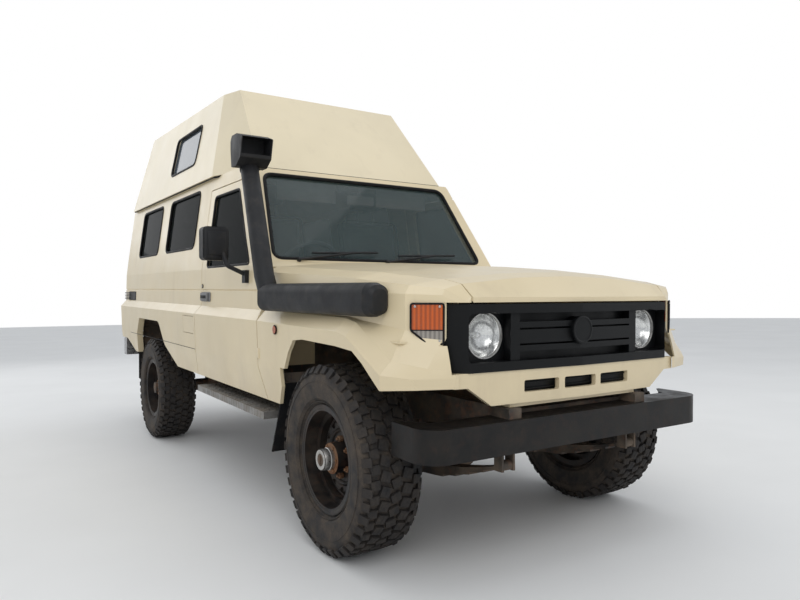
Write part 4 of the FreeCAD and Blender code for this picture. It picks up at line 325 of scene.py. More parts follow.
def tyre_material(name, dirt):
    """Rubber with dust in patches, which fine noise breaks up."""
    mat = Nodes(name)
    rubber = tuple(colours().rubber)
    patches = mat.ramp(mat.noise(14.0, 7.0, 0.65), 0.34, 0.66, 0.03 * dirt, 0.62 * dirt)
    dusty = mat.times(patches, mat.ramp(mat.noise(140.0, 4.0, 0.7), 0.35, 0.65, 0.55, 1.0))
    tone = mat.mix(dusty, mat.mix(mat.noise(30.0), rubber, shade(rubber, 1.8)), dust(0.72))
    mat.set(Base_Color=tone, Roughness=mat.ramp(dusty, 0.0, 1.0, 0.62, 0.92), Specular_IOR_Level=0.25)
    mat.bump(mat.noise(420.0, 4.0, 0.7), 0.35, 0.001)
    return mat.material


def glass_material(name, base, alpha, band=False, rough=0.03, gloss=0.7):
    """Clear or tinted glass under a dusty film; the screen has a darker band along its top."""
    mat = Nodes(name)
    tone = mat.mix(mat.ramp(mat.noise(3.0, 5.0), 0.3, 0.7), shade(base, 0.9), shade(base, 1.1))
    film = mat.patches(mat.noise(16.0, 6.0, 0.7), 0.5, 0.8, 0.10)
    share = mat.math("ADD", film, alpha)
    if band:
        top = mat.ramp(mat.axis("Z"), *SCREEN_BAND_Z, 0.0, 0.28)
        share = mat.math("ADD", share, top)
        tone = mat.mix(top, tone, shade(base, 0.35))
    mat.set(Base_Color=tone, Roughness=mat.ramp(film, 0.0, 0.1, rough, rough + 0.12), Alpha=share,
            IOR=1.0 + gloss * 0.7, Specular_IOR_Level=gloss)
    mat.material.surface_render_method = "DITHERED"
    return mat.material


def lens_material(name, base, rough=0.08):
    """Ribbed lamp lens."""
    mat = Nodes(name)
    ribs = mat.wave(24.0)
    tone = mat.mix(mat.times(ribs, 0.45), base, shade(base, 0.55))
    tone = mat.mix(mat.patches(mat.noise(40.0, 5.0), 0.5, 0.8, 0.12), tone, dust())
    mat.set(Base_Color=tone, Roughness=mat.ramp(mat.noise(30.0), 0.3, 0.7, rough, rough + 0.1), Alpha=1.0,
            IOR=1.45, Coat_Weight=0.6, Coat_Roughness=0.05)
    mat.bump(ribs, 0.25, 0.002)
    return mat.material


def corner_lens_material(name, amber, clear):
    """Amber above the corner lamp's split and clear below it; markers are amber throughout."""
    mat = Nodes(name)
    ribs = mat.wave(24.0)
    above_split = mat.ramp(mat.axis("Z"), *LENS_SPLIT_Z)
    behind_axle = mat.ramp(mat.axis("Y"), AXLE_Y, AXLE_Y + 0.01)
    tone = mat.mix(mat.math("MAXIMUM", above_split, behind_axle), mat.mix(ribs, shade(clear, 0.55), clear),
                   mat.mix(ribs, shade(amber, 0.55), amber))
    tone = mat.mix(mat.patches(mat.noise(40.0, 5.0), 0.5, 0.8, 0.15), tone, dust())
    mat.set(Base_Color=tone, Roughness=mat.ramp(mat.noise(30.0), 0.3, 0.7, 0.08, 0.2), Coat_Weight=0.6,
            Coat_Roughness=0.05)
    mat.bump(ribs, 0.25, 0.002)
    return mat.material


def bright_material(name, base, rough, dulled=0.3):
    """Plated or bare metal, dulled by dust in patches."""
    mat = Nodes(name)
    tone = mat.mix(mat.ramp(mat.noise(24.0, 6.0), 0.45, 0.75), base, shade(base, 0.62))
    tone = mat.mix(mat.patches(mat.noise(11.0, 6.0), 0.52, 0.72, dulled), tone, dust())
    mat.set(Base_Color=tone, Metallic=0.9, Roughness=mat.ramp(mat.noise(50.0), 0.3, 0.7, rough, rough + 0.2))
    mat.bump(mat.noise(300.0, 3.0), 0.08, 0.001)
    return mat.material


def chequer_material(name, base):
    """Chequer plate: bright diamonds where two sets of ridges cross."""
    mat = Nodes(name)
    ridges = [mat.ramp(mat.wave(12.0, turn=(0, 0, turn)), 0.72, 0.95) for turn in (0.785, -0.785)]
    diamonds = mat.times(*ridges)
    worn = mat.mix(mat.ramp(mat.noise(20.0, 6.0), 0.4, 0.7), base, shade(base, 0.5))
    tone = mat.mix(mat.patches(mat.noise(8.0, 6.0), 0.35, 0.65, 0.6), worn, dust(0.8))
    tone = mat.mix(mat.times(diamonds, 0.7), tone, shade(base, 1.5))
    mat.set(Base_Color=tone, Metallic=0.55, Roughness=mat.ramp(mat.noise(30.0), 0.3, 0.7, 0.38, 0.6))
    mat.bump(diamonds, 0.8, 0.003)
    return mat.material


def cloth_material(name, base):
    """Woven cloth: two crossed sets of threads."""
    mat = Nodes(name)
    weave = mat.times(*[mat.wave(190.0, 1.2, (turn, turn, 0)) for turn in (0.0, 1.5708)])
    tone = mat.mix(weave, shade(base, 0.6), shade(base, 1.7))
    tone = mat.mix(mat.patches(mat.noise(7.0, 5.0), 0.4, 0.7, 0.25), tone, dust())
    mat.set(Base_Color=tone, Roughness=mat.ramp(mat.noise(40.0), 0.3, 0.7, 0.8, 0.95), Sheen_Weight=0.3,
            Sheen_Roughness=0.5)
    mat.bump(weave, 0.5, 0.0008)
    return mat.material


# Mesh helpers
FINISHES = {}
WELD_DISTANCE = 0.00002
SHARP_ANGLE = math.radians(38)


def finish_mesh(name, bm, body, material, smooth=True, weld=True):
    """Turns a bmesh into a piece that rides on a body."""
    if weld:
        bmesh.ops.remove_doubles(bm, verts=bm.verts, dist=WELD_DISTANCE)
    bmesh.ops.recalc_face_normals(bm, faces=bm.faces)
    mesh = bpy.data.meshes.new(name)
    bm.to_mesh(mesh)
    bm.free()
    if smooth:
        mesh.shade_smooth()
        mesh.set_sharp_from_angle(angle=SHARP_ANGLE)
    piece = bpy.data.objects.new(name, mesh)
    bpy.context.scene.collection.objects.link(piece)
    for entry in material if isinstance(material, list) else [material]:
        mesh.materials.append(FINISHES[entry])
    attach(piece, body)
    return piece


@contextmanager
def piece_mesh(name, body, material, slot=None, smooth=True, weld=True):
    """An empty bmesh to fill, which then becomes a piece that rides on a body."""
    bm = bmesh.new()
    yield bm
    finish_mesh(name, bm, body, material, smooth, weld)


def add_block(bm, centre, size, edge=0.0, turn=None, index=0):
    """Box with rounded edges; centre in the parked frame, size in metres."""
    matrix = Matrix.Translation(centre) @ (turn or tilt()) @ Matrix.Diagonal((*size, 1))
    verts = bmesh.ops.create_cube(bm, size=1.0, matrix=matrix)["verts"]
    for face in {face for vert in verts for face in vert.link_faces}:
        face.material_index = index
    if edge > 0:
        edges = {item for vert in verts for item in vert.link_edges}
        bmesh.ops.bevel(bm, geom=list(edges), offset=min(edge, min(size) * 0.45), segments=2, profile=0.5,
                        affect="EDGES", material=-1)


def add_disc(bm, centre, axis, radius, depth, segments=32, edge=0.0, index=0, end_radius=None):
    """Round boss along an axis, its middle at the centre."""
    turn = Vector((0, 0, 1)).rotation_difference(Vector(axis)).to_matrix().to_4x4()
    made = bmesh.ops.create_cone(bm, cap_ends=True, segments=segments, radius1=radius,
                                 radius2=radius if end_radius is None else end_radius, depth=depth,
                                 matrix=Matrix.Translation(centre) @ turn)
    faces = {face for vert in made["verts"] for face in vert.link_faces}
    for face in faces:
        face.material_index = index
    if edge > 0:
        rims = {item for face in faces if len(face.verts) > 4 for item in face.edges}
        bmesh.ops.bevel(bm, geom=list(rims), offset=edge, segments=2, profile=0.5, affect="EDGES",
                        material=-1)


def add_ring(bm, centre, axis, radius, section, segments=48, sides=10, flat=1.0):
    """Torus about an axis: a small circle turned about the axis."""
    turn = Vector((0, 0, 1)).rotation_difference(Vector(axis)).to_matrix().to_4x4()
    place = (Matrix.Translation(centre) @ turn @ Matrix.Translation((radius, 0, 0))
             @ Matrix.Rotation(math.pi / 2, 4, "X") @ Matrix.Diagonal((1, flat, 1, 1)))
    circle = bmesh.ops.create_circle(bm, cap_ends=False, segments=sides, radius=section, matrix=place)
    edges = list({item for vert in circle["verts"] for item in vert.link_edges})
    bmesh.ops.spin(bm, geom=circle["verts"] + edges, cent=centre, axis=(turn @ Vector((0, 0, 1))),
                   angle=2 * math.pi, steps=segments, use_merge=True)


def add_turned(bm, place, profile, steps=40, index=0):
    """A profile of (along, radius) points turned about the X axis of a placing matrix."""
    before = set(bm.verts)
    verts = [bm.verts.new((along, 0, radius)) for along, radius in profile]
    edges = [bm.edges.new(pair) for pair in zip(verts, verts[1:])]
    bmesh.ops.spin(bm, geom=verts + edges, cent=(0, 0, 0), axis=(1, 0, 0), angle=2 * math.pi, steps=steps,
                   use_merge=True)
    made = [vert for vert in bm.verts if vert not in before]
    for face in {item for vert in made for item in vert.link_faces}:
        face.material_index = index
    bmesh.ops.transform(bm, matrix=place, verts=made)


def add_plate(bm, corners, thick, out):
    """Thin plate whose outline is given as points, thickened along a direction."""
    face = bm.faces.new([bm.verts.new(point) for point in corners])
    made = bmesh.ops.extrude_face_region(bm, geom=[face])
    moved = [item for item in made["geom"] if isinstance(item, bmesh.types.BMVert)]
    bmesh.ops.translate(bm, verts=moved, vec=Vector(out).normalized() * thick)


def strip(name, points, radius, body="main", closed=True):
    """Rubber strip: a curve with a round section through the points."""
    curve = bpy.data.curves.new(name, "CURVE")
    curve.dimensions = "3D"
    spline = curve.splines.new("POLY")
    spline.points.add(len(points) - 1)
    for entry, point in zip(spline.points, points):
        entry.co = (*point, 1.0)
    spline.use_cyclic_u = closed
    spline.use_smooth = True
    curve.bevel_depth = radius
    curve.bevel_resolution = 2
    curve.use_fill_caps = not closed
    helper = bpy.data.objects.new(name, curve)
    bpy.context.scene.collection.objects.link(helper)
    mesh = bpy.data.meshes.new_from_object(helper)
    bpy.data.objects.remove(helper)
    bpy.data.curves.remove(curve)
    with piece_mesh(name, body, "seal_rubber") as bm:
        bm.from_mesh(mesh)
        bpy.data.meshes.remove(mesh)


def rounded(corners, radius, steps=5):
    """Closed outline through the corners with each one rounded."""
    result = []
    for index, corner in enumerate(corners):
        here = Vector(corner)
        back = Vector(corners[index - 1]) - here
        ahead = Vector(corners[(index + 1) % len(corners)]) - here
        cut = min(radius, back.length * 0.45, ahead.length * 0.45)
        start = here + back.normalized() * cut
        end = here + ahead.normalized() * cut
        for step in range(steps + 1):
            share = step / steps
            result.append(start.lerp(here, share).lerp(here.lerp(end, share), share))
    return result


def rectangle(start, end, low, high):
    """Corners of an upright rectangle as (along, up) pairs."""
    return (start, low), (end, low), (end, high), (start, high)


# Body side: height and half width of the level body, in millimetres
SIDE_LINE = [(546, 820), (697, 838), (916, 845), (965, 802), (1061, 800), (1186, 797), (1330, 780),
             (1714, 728), (1752, 722)]


def side_x(z):
    """Half width of the body side at a height."""
    for (low_z, low_x), (high_z, high_x) in zip(SIDE_LINE, SIDE_LINE[1:]):
        if z <= high_z:
            return low_x + (z - low_z) / (high_z - low_z) * (high_x - low_x)
    return SIDE_LINE[-1][1]


def on_side(side, y, z, out=0.0):
    """A point on the body side, moved outwards by a distance in metres."""
    point = at(side * side_x(z), y, z)
    point.x += side * out
    return point


def facing(x, y, z):
    """Matrix at a body point whose X axis points forwards."""
    return Matrix.Translation(at(x, y, z)) @ tilt() @ Matrix.Rotation(-math.pi / 2, 4, "Z")


# Finishes of the pieces
NODE_FINISHES = {"windscreen_glass": "screen_glass", "roof_glass": "roof_glass", "grille": "grille_dark",
                 "signal_lamps": "corner_lens"}


def paints_and_metals(paint):
    black = tuple(paint.black)
    return {
        "body_paint": paint_material("body_paint_worn", tuple(paint.paint)),
        "roof_paint": paint_material("roof_gel_coat", tuple(paint.roof), streaks=0.10, rough=0.34,
                                     grain=120.0, relief=0.08),
        "bumper_black": dirty_metal("bumper_enamel", shade(black, 0.35), 0.05, 0.04, rough=0.40, gloss=0.25),
        "wheel_steel": dirty_metal("wheel_enamel", (0.007, 0.007, 0.008), 0.14, 0.10, rough=0.42, gloss=0.3),
        "frame_steel": dirty_metal("frame_enamel", tuple(paint.frame), 0.55, 0.42, rough=0.62),
        "cast_metal": dirty_metal("rusty_casting", (0.055, 0.042, 0.034), 0.55, 0.7, rough=0.7),
        "rusty_bolt": dirty_metal("rusty_bolt", (0.20, 0.10, 0.05), 0.35, 0.9, rough=0.7, metallic=0.3),
        "rear_chrome": bright_material("dull_chrome", (0.50, 0.50, 0.50), 0.22),
        "bright_steel": bright_material("bright_steel", tuple(paint.steel), 0.24, dulled=0.35),
        "mirror_face": bright_material("mirror_face", (0.80, 0.80, 0.80), 0.04, dulled=0.06),
        "reflector": bright_material("lamp_reflector", (0.86, 0.86, 0.84), 0.10, dulled=0.04),
        "step_aluminium": chequer_material("chequer_plate", (0.30, 0.30, 0.29)),
    }


def glass_and_lenses(paint):
    amber = tuple(paint.amber)
    return {
        "window_glass": glass_material("window_tint", (0.010, 0.012, 0.012), 0.86, gloss=0.12),
        "screen_glass": glass_material("screen_tint", (0.055, 0.085, 0.085), 0.36, band=True),
        "roof_glass": glass_material("roof_window_tint", (0.11, 0.13, 0.15), 0.80, rough=0.06),
        "headlamp_glass": glass_material("headlamp_clear", (0.80, 0.82, 0.83), 0.12, rough=0.02),
        "amber_lens": lens_material("amber_moulding", amber),
        "corner_lens": corner_lens_material("corner_moulding", amber, (0.34, 0.31, 0.27)),
        "red_lens": lens_material("red_moulding", tuple(paint.red)),
        "clear_lens": lens_material("clear_moulding", (0.62, 0.60, 0.56), rough=0.06),
    }


def rubber_cloth_and_mouldings(paint):
    return {
        "tyre_rubber": tyre_material("dusty_side_wall", 1.0),
        "tread_rubber": tyre_material("tread_rubber", 0.45),
        "flap_rubber": plastic_material("flap_sheet", (0.007, 0.007, 0.008), 0.72, 300.0, 0.3, dusty=0.1,
                                       gloss=0.2),
        "seal_rubber": plastic_material("seal_rubber", (0.006, 0.006, 0.007), 0.55, 500.0, 0.1, dusty=0.04,
                                        gloss=0.2),
        "seat_fabric": cloth_material("seat_cloth", tuple(paint.cloth)),
        "black_plastic": plastic_material("black_moulding", tuple(paint.black)),
        "grille_dark": plastic_material("grille_moulding", (0.0025, 0.003, 0.0035), 0.40, 500.0, 0.1,
                                        dusty=0.01, gloss=0.22),
        "cab_plastic": plastic_material("cab_moulding", tuple(paint.plastic), 0.62, 700.0, 0.25),
        "cab_light": plastic_material("cab_light_grey", (0.26, 0.26, 0.25), 0.6, 500.0, 0.2),
        "grey_moulding": plastic_material("grey_moulding", (0.16, 0.16, 0.165), 0.45, 600.0, 0.15),
        "blank_white": plastic_material("blank_plate", (0.62, 0.62, 0.60), 0.4, 300.0, 0.05),
    }


def frame_objects(node):
    """The scene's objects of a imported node."""
    if node in bpy.data.objects:
        return [bpy.data.objects[node]]
    found = [item for item in bpy.data.objects if item.name.split(".")[0] == node and item.type == "MESH"]
    if not found:
        raise RuntimeError("no object for node " + node)
    return found


class CAR_OT_materials(Operator):
    """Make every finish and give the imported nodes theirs"""

    bl_idname = "car.materials"
    bl_label = "Make finishes"

    def execute(self, context):
        for group in (paints_and_metals, glass_and_lenses, rubber_cloth_and_mouldings):
            FINISHES.update(group(colours()))
        for subpart in frame["record"]["subparts"]:
            finish = FINISHES[NODE_FINISHES.get(subpart["node"], subpart["material_slot"])]
            for item in frame_objects(subpart["node"]):
                if not item.material_slots:
                    item.data.materials.append(finish)
                for entry in item.material_slots:
                    entry.material = finish
        return {"FINISHED"}


# Tyres
SHOULDER = 0.08
RIB_HIGH = 0.0016
# Place across the tread, width, phase, skew, and length as a share of the pitch
TREAD_ROWS = ((0.0, 0.040, 0.0, 0.36, 0.62),
              (-0.047, 0.040, 0.5, -0.30, 0.66), (0.047, 0.040, 0.5, -0.30, 0.66),
              (-0.088, 0.034, 0.0, 0.12, 0.60), (0.088, 0.034, 0.0, -0.12, 0.60))


def add_tread_block(bm, place, wide, long, high):
    made = bmesh.ops.create_cube(bm, size=1.0, matrix=place @ Matrix.Diagonal((wide, long, high, 1)))
    for face in {item for vert in made["verts"] for item in vert.link_faces}:
        face.material_index = 1


def add_carcass(bm, settings):
    """Turned side walls and tread floor, with a raised ring low and high on each side wall."""
    half = settings.width / 2
    tread = settings.tread / 2
    floor = settings.radius - settings.groove
    bead, bulge = settings.bead, settings.bulge
    inner = [(half * 0.60, bead), (half * 0.62, bead + 0.02)]
    wall = [(half * 0.66, bead), (half * 0.74, bead + 0.020), (half * 0.93, bead + 0.042), (half, bulge),
            (half * 0.985, bulge + 0.022), (half * 0.94, bulge + 0.042), (tread * 1.02, floor - 0.012),
            (tread * 0.82, floor - 0.003), (tread * 0.4, floor), (0.0, floor)]
    outline = inner[::-1] + wall + [(-x, r) for x, r in wall[-2::-1]] + [(-x, r) for x, r in inner]
    verts = [bm.verts.new((x, 0, r)) for x, r in outline]
    edges = [bm.edges.new(pair) for pair in zip(verts, verts[1:])]
    bmesh.ops.spin(bm, geom=verts + edges, cent=(0, 0, 0), axis=(1, 0, 0), angle=2 * math.pi, steps=84,
                   use_merge=True)
    for radius, share in ((bead + 0.028, 0.86), (bulge + 0.012, 0.992)):
        for side in (-1, 1):
            add_ring(bm, Vector((side * half * share, 0, 0)), (1, 0, 0), radius, 0.0022, 84, 6)


def tyre_mesh(settings):
    """One tyre: its carcass, tread blocks with two fine ribs each in staggered rows, and shoulder lugs."""
    bm = bmesh.new()
    add_carcass(bm, settings)
    pitch = 2 * math.pi / settings.pitches
    high = settings.groove + 0.012
    rng = random.Random(7)
    for step in range(settings.pitches):
        for x, wide, phase, skew, share in TREAD_ROWS:
            outer = abs(x) > SHOULDER
            radius = settings.radius - high / 2 - (0.0035 if outer else 0.0)
            long = pitch * settings.radius * share
            place = (Matrix.Rotation((step + phase) * pitch, 4, "X") @ Matrix.Translation((x, 0, radius))
                     @ Matrix.Rotation(skew + rng.uniform(-0.03, 0.03), 4, "Z")
                     @ Matrix.Rotation(math.copysign(0.14, x) if outer else 0.0, 4, "Y"))
            add_tread_block(bm, place, wide, long, high)
            for cut in (-1, 1):
                rib = place @ Matrix.Translation((cut * wide * 0.2, 0, high / 2))
                add_tread_block(bm, rib, wide * 0.24, long * 0.80, RIB_HIGH)
        for side in (-1, 1):
            spot = (side * (settings.tread / 2 + 0.006), 0, settings.radius - 0.020)
            lug = (Matrix.Rotation((step + 0.5) * pitch, 4, "X") @ Matrix.Translation(spot)
                   @ Matrix.Rotation(side * 0.95, 4, "Y"))
            add_tread_block(bm, lug, 0.040 if step % 2 else 0.030, pitch * settings.radius * 0.58, 0.013)
    return bm


# Wheels, and the side that each faces
WHEELS = {"front_left": 1, "front_right": -1, "rear_left": 1, "rear_right": -1, "spare": 1}


def tyre_of(wheel):
    return "spare_tyre" if wheel == "spare" else "tyre_" + wheel


def body_of(wheel):
    return "back_door_right" if wheel == "spare" else "wheel_" + wheel


class CAR_OT_tyres(Operator):
    """Tyres with all-terrain tread on the four wheels and the spare"""

    bl_idname = "car.tyres"
    bl_label = "Tyres"

    def execute(self, context):
        pattern = tyre_mesh(context.scene.car_tyre)
        for wheel in WHEELS:
            node = tyre_of(wheel)
            turn = tilt() @ Matrix.Rotation(math.pi / 2, 4, "Z") if wheel == "spare" else Matrix.Identity(4)
            bm = pattern.copy()
            bmesh.ops.transform(bm, matrix=Matrix.Translation(middle(node)) @ turn, verts=bm.verts)
            piece = finish_mesh(node + "_tread", bm, body_of(wheel), ["tyre_rubber", "tread_rubber"],
                                weld=False)
            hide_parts(node)
        pattern.free()
        return {"FINISHED"}


# Seals: corners of the windows on the level body, in millimetres
SCREEN_LOW = Vector((684, 832, 1228))
SCREEN_TOP = Vector((612, 1155, 1716))
SCREEN_NORMAL = Vector((0, -0.834, 0.552))
QUARTER_SPANS = ((1930, 2655), (2895, 3540))
QUARTER_Z = (1330, 1699)
TAIL_Y = 3985
TAIL_WINDOWS = {"right": (-569, 40), "left": (200, 569)}
TAIL_WINDOW_Z = (1330, 1640)
DOOR_WINDOW = ((883, 1196), (1180, 1622), (1600, 1622), (1600, 1196))
ROOF_WINDOW = ((2130, 1905), (2190, 2195), (2810, 2195), (2750, 1905))
ROOF_JOINT_Z = 1749
ROOF_JOINT_SIDE = ((735, 1640), (738, 2300), (738, 3900))
ROOF_JOINT_FRONT = ((-735, 1640), (-622, 1187), (622, 1187), (735, 1640))


def roof_side(y, z):
    """Half width of the high roof's side: 752 at its foot, 148 less at its top, which rises to the rear."""
    foot = 1752
    top = 2318 + (y - 1680) / 2080 * 60
    return 752 - (z - foot) / (top - foot) * 148


def screen_at(side, rise, out):
    """A point on the windscreen's edge, moved out of its plane by a distance in metres."""
    x, y, z = SCREEN_LOW + (SCREEN_TOP - SCREEN_LOW) * rise
    return at(side * x, y, z) + tilt().to_3x3() @ SCREEN_NORMAL * out


class CAR_OT_seals(Operator):
    """Rubber seals round every window and along the roof's joint"""

    bl_idname = "car.seals"
    bl_label = "Seals and gutters"

    def execute(self, context):
        trim = context.scene.car_trim
        wide = trim.seal * 1.2
        sunk = -0.003
        corners = [screen_at(side, rise, sunk) for side, rise in ((-1, 0), (1, 0), (1, 1), (-1, 1))]
        strip("windscreen_seal", rounded(corners, 0.055, 7), trim.seal * 1.45)
        for side, where in SIDES:
            ring = [on_side(side, y, z, sunk) for y, z in DOOR_WINDOW]
            strip("door_window_seal_" + where, rounded(ring, 0.028, 5), trim.seal, "front_door_" + where)
            for index, span in enumerate(QUARTER_SPANS):
                ring = [on_side(side, y, z, sunk) for y, z in rectangle(*span, *QUARTER_Z)]
                strip("quarter_seal_%s_%d" % (where, index + 1), rounded(ring, 0.052, 6), wide)
            ring = [at(side * roof_side(y, z), y, z) - Vector((side * 0.002, 0, 0)) for y, z in ROOF_WINDOW]
            strip("roof_window_seal_" + where, rounded(ring, 0.052, 6), wide)
            ring = [at(x, TAIL_Y - 3, z) for x, z in rectangle(*TAIL_WINDOWS[where], *TAIL_WINDOW_Z)]
            strip("rear_door_%s_seal" % where, rounded(ring, 0.052, 6), wide, "back_door_" + where)
            line = [at(side * x, y, ROOF_JOINT_Z) for x, y in ROOF_JOINT_SIDE]
            strip("roof_joint_" + where, line, trim.thin_seal, closed=False)
        front = [at(x, y, ROOF_JOINT_Z) for x, y in ROOF_JOINT_FRONT]
        strip("roof_joint_front", front, trim.seal, closed=False)
        return {"FINISHED"}


# Wheel fittings
HUB_FACE = 0.028
RIM_HALF = 0.1015
NUT_CIRCLE = 0.075
FLANGE_CIRCLE = 0.052
PRESSED_RINGS = ((0.109, 0.006, 0.001), (0.166, 0.004, -0.018))
FRONT_CAP = ((-0.046, 0.0422), (-0.044, 0.0455), (-0.030, 0.0455), (-0.028, 0.0430), (-0.004, 0.0428),
             (0.001, 0.0395), (0.002, 0.030), (0.0004, 0.0255))
FRONT_CAP_DISC = ((0.0005, 0.0255), (0.0008, 0.004), (0.0008, 0.001))
REAR_CAP = ((-0.020, 0.0422), (-0.003, 0.0425), (0.002, 0.034), (0.003, 0.012), (0.003, 0.001))
RIM_LIP = ((-0.006, 0.2035), (0.001, 0.2045), (0.003, 0.212), (0.0015, 0.2185), (-0.003, 0.2195))
HUB_FLANGE = ((0.0002, 0.0625), (0.003, 0.0605), (0.004, 0.046), (0.0045, 0.0425))


def wheel_place(wheel):
    """Matrix whose origin is the wheel's centre and whose X axis points outwards."""
    if wheel == "spare":
        turn = tilt() @ Matrix.Rotation(math.pi / 2, 4, "Z")
    else:
        turn = Matrix.Rotation(math.pi, 4, "Z") if WHEELS[wheel] < 0 else Matrix.Identity(4)
    return Matrix.Translation(middle(tyre_of(wheel))) @ turn


def along_by(distance, profile):
    """A turned profile moved along its axis."""
    return [(along + distance, radius) for along, radius in profile]


def add_bolts(bm, place, along, circle, radius, depth, phase=0.0):
    """Six hexagon heads in a circle about the X axis of a placing matrix."""
    for index in range(6):
        angle = 2 * math.pi * (index + phase) / 6
        spot = place @ Vector((along, -math.sin(angle) * circle, math.cos(angle) * circle))
        add_disc(bm, spot, place.to_3x3() @ Vector((1, 0, 0)), radius, depth, 6, radius * 0.12)


class CAR_OT_wheels(Operator):
    """Pressed rings, nuts, hubs and valves of the wheels"""

    bl_idname = "car.wheels"
    bl_label = "Wheel details"

    def execute(self, context):
        for wheel in WHEELS:
            self.rim(wheel)
            if wheel != "spare":
                self.hub_cap(wheel)
        return {"FINISHED"}

    def rim(self, wheel):
        """Pressed rings, rim lip and valve, then the nuts and the hub's bolts."""
        place = wheel_place(wheel)
        body = body_of(wheel)
        with piece_mesh("rim_rings_" + wheel, body, "wheel_steel", "wheel_steel") as bm:
            for radius, section, out in PRESSED_RINGS:
                along = HUB_FACE + out
                add_turned(bm, place, [(along - section, radius - section * 1.6), (along, radius - section),
                                       (along + section * 0.5, radius), (along, radius + section),
                                       (along - section, radius + section * 1.6)], 56)
            add_turned(bm, place, along_by(RIM_HALF, RIM_LIP), 72)
            valve = place @ Vector((RIM_HALF - 0.035, 0.0, 0.190))
            add_disc(bm, valve, place.to_3x3() @ Vector((0.8, 0, -0.6)), 0.0045, 0.034, 10)
        with piece_mesh("wheel_nuts_" + wheel, body, "rusty_bolt", "cast_metal") as bm:
            add_bolts(bm, place, HUB_FACE + 0.004, NUT_CIRCLE, 0.0135, 0.020)
            add_bolts(bm, place, HUB_FACE + 0.015, NUT_CIRCLE, 0.0065, 0.016)
            if wheel != "spare":
                reach = HUB_FACE + (0.048 if wheel.startswith("front") else 0.031)
                add_bolts(bm, place, reach + 0.003, FLANGE_CIRCLE, 0.0075, 0.010, phase=0.5)
                add_turned(bm, place, along_by(reach, HUB_FLANGE), 36)

    def hub_cap(self, wheel):
        """A free-wheeling hub with its dial in front, a plain domed cap at the rear."""
        place = wheel_place(wheel)
        with piece_mesh("hub_cap_" + wheel, body_of(wheel), ["bright_steel", "cast_metal"],
                        "rear_chrome") as bm:
            if wheel.startswith("front"):
                nose = HUB_FACE + 0.096
                add_turned(bm, place, along_by(nose, FRONT_CAP), 44)
                add_block(bm, place @ Vector((nose + 0.0035, 0, 0)), (0.006, 0.012, 0.034), 0.002,
                          place.to_3x3().to_4x4(), 1)
                add_turned(bm, place, along_by(nose, FRONT_CAP_DISC), 32, 1)
            else:
                add_turned(bm, place, along_by(HUB_FACE + 0.062, REAR_CAP), 36, 1)


# Lamps: places on the level body, in millimetres
HEADLAMP = (440, -534, 900)
BOWL = ((0.001, 0.0795), (-0.002, 0.076), (-0.020, 0.068), (-0.038, 0.050), (-0.047, 0.028), (-0.050, 0.010))
BULB = ((-0.050, 0.012), (-0.030, 0.012), (-0.024, 0.010), (-0.020, 0.001))
LAMP_RING = ((0.000, 0.0822), (0.002, 0.0850), (0.008, 0.0852), (0.0115, 0.0835), (0.011, 0.0805),
             (0.006, 0.0788))
GLASS_RADIUS = 0.074
FLUTE = 0.0022
LAMP_CORNERS = ((628, -548, 1018), (724, -485, 1018), (724, -485, 926), (674, -518, 878), (628, -548, 878))
LAMP_SPLIT = ((628, -549, 926), (724, -486, 926))
LAMP_SCREWS = ((640, -541, 1008), (712, -494, 1008), (640, -541, 890))
MARKER = (425, 884)
REAR_LAMP = (752, 4008)
REAR_LENSES = ((940, 1004), (868, 936), (796, 864))
SLOT_CENTRES = (-204, 0, 204)
BOSS = ((-0.002, 0.0545), (0.003, 0.0535), (0.0045, 0.050), (0.004, 0.046), (0.0022, 0.044), (0.0022, 0.001))


def chord(offset):
    """Half length of the lamp glass at an offset from its middle."""
    return math.sqrt(max(0.0, GLASS_RADIUS ** 2 - offset ** 2))


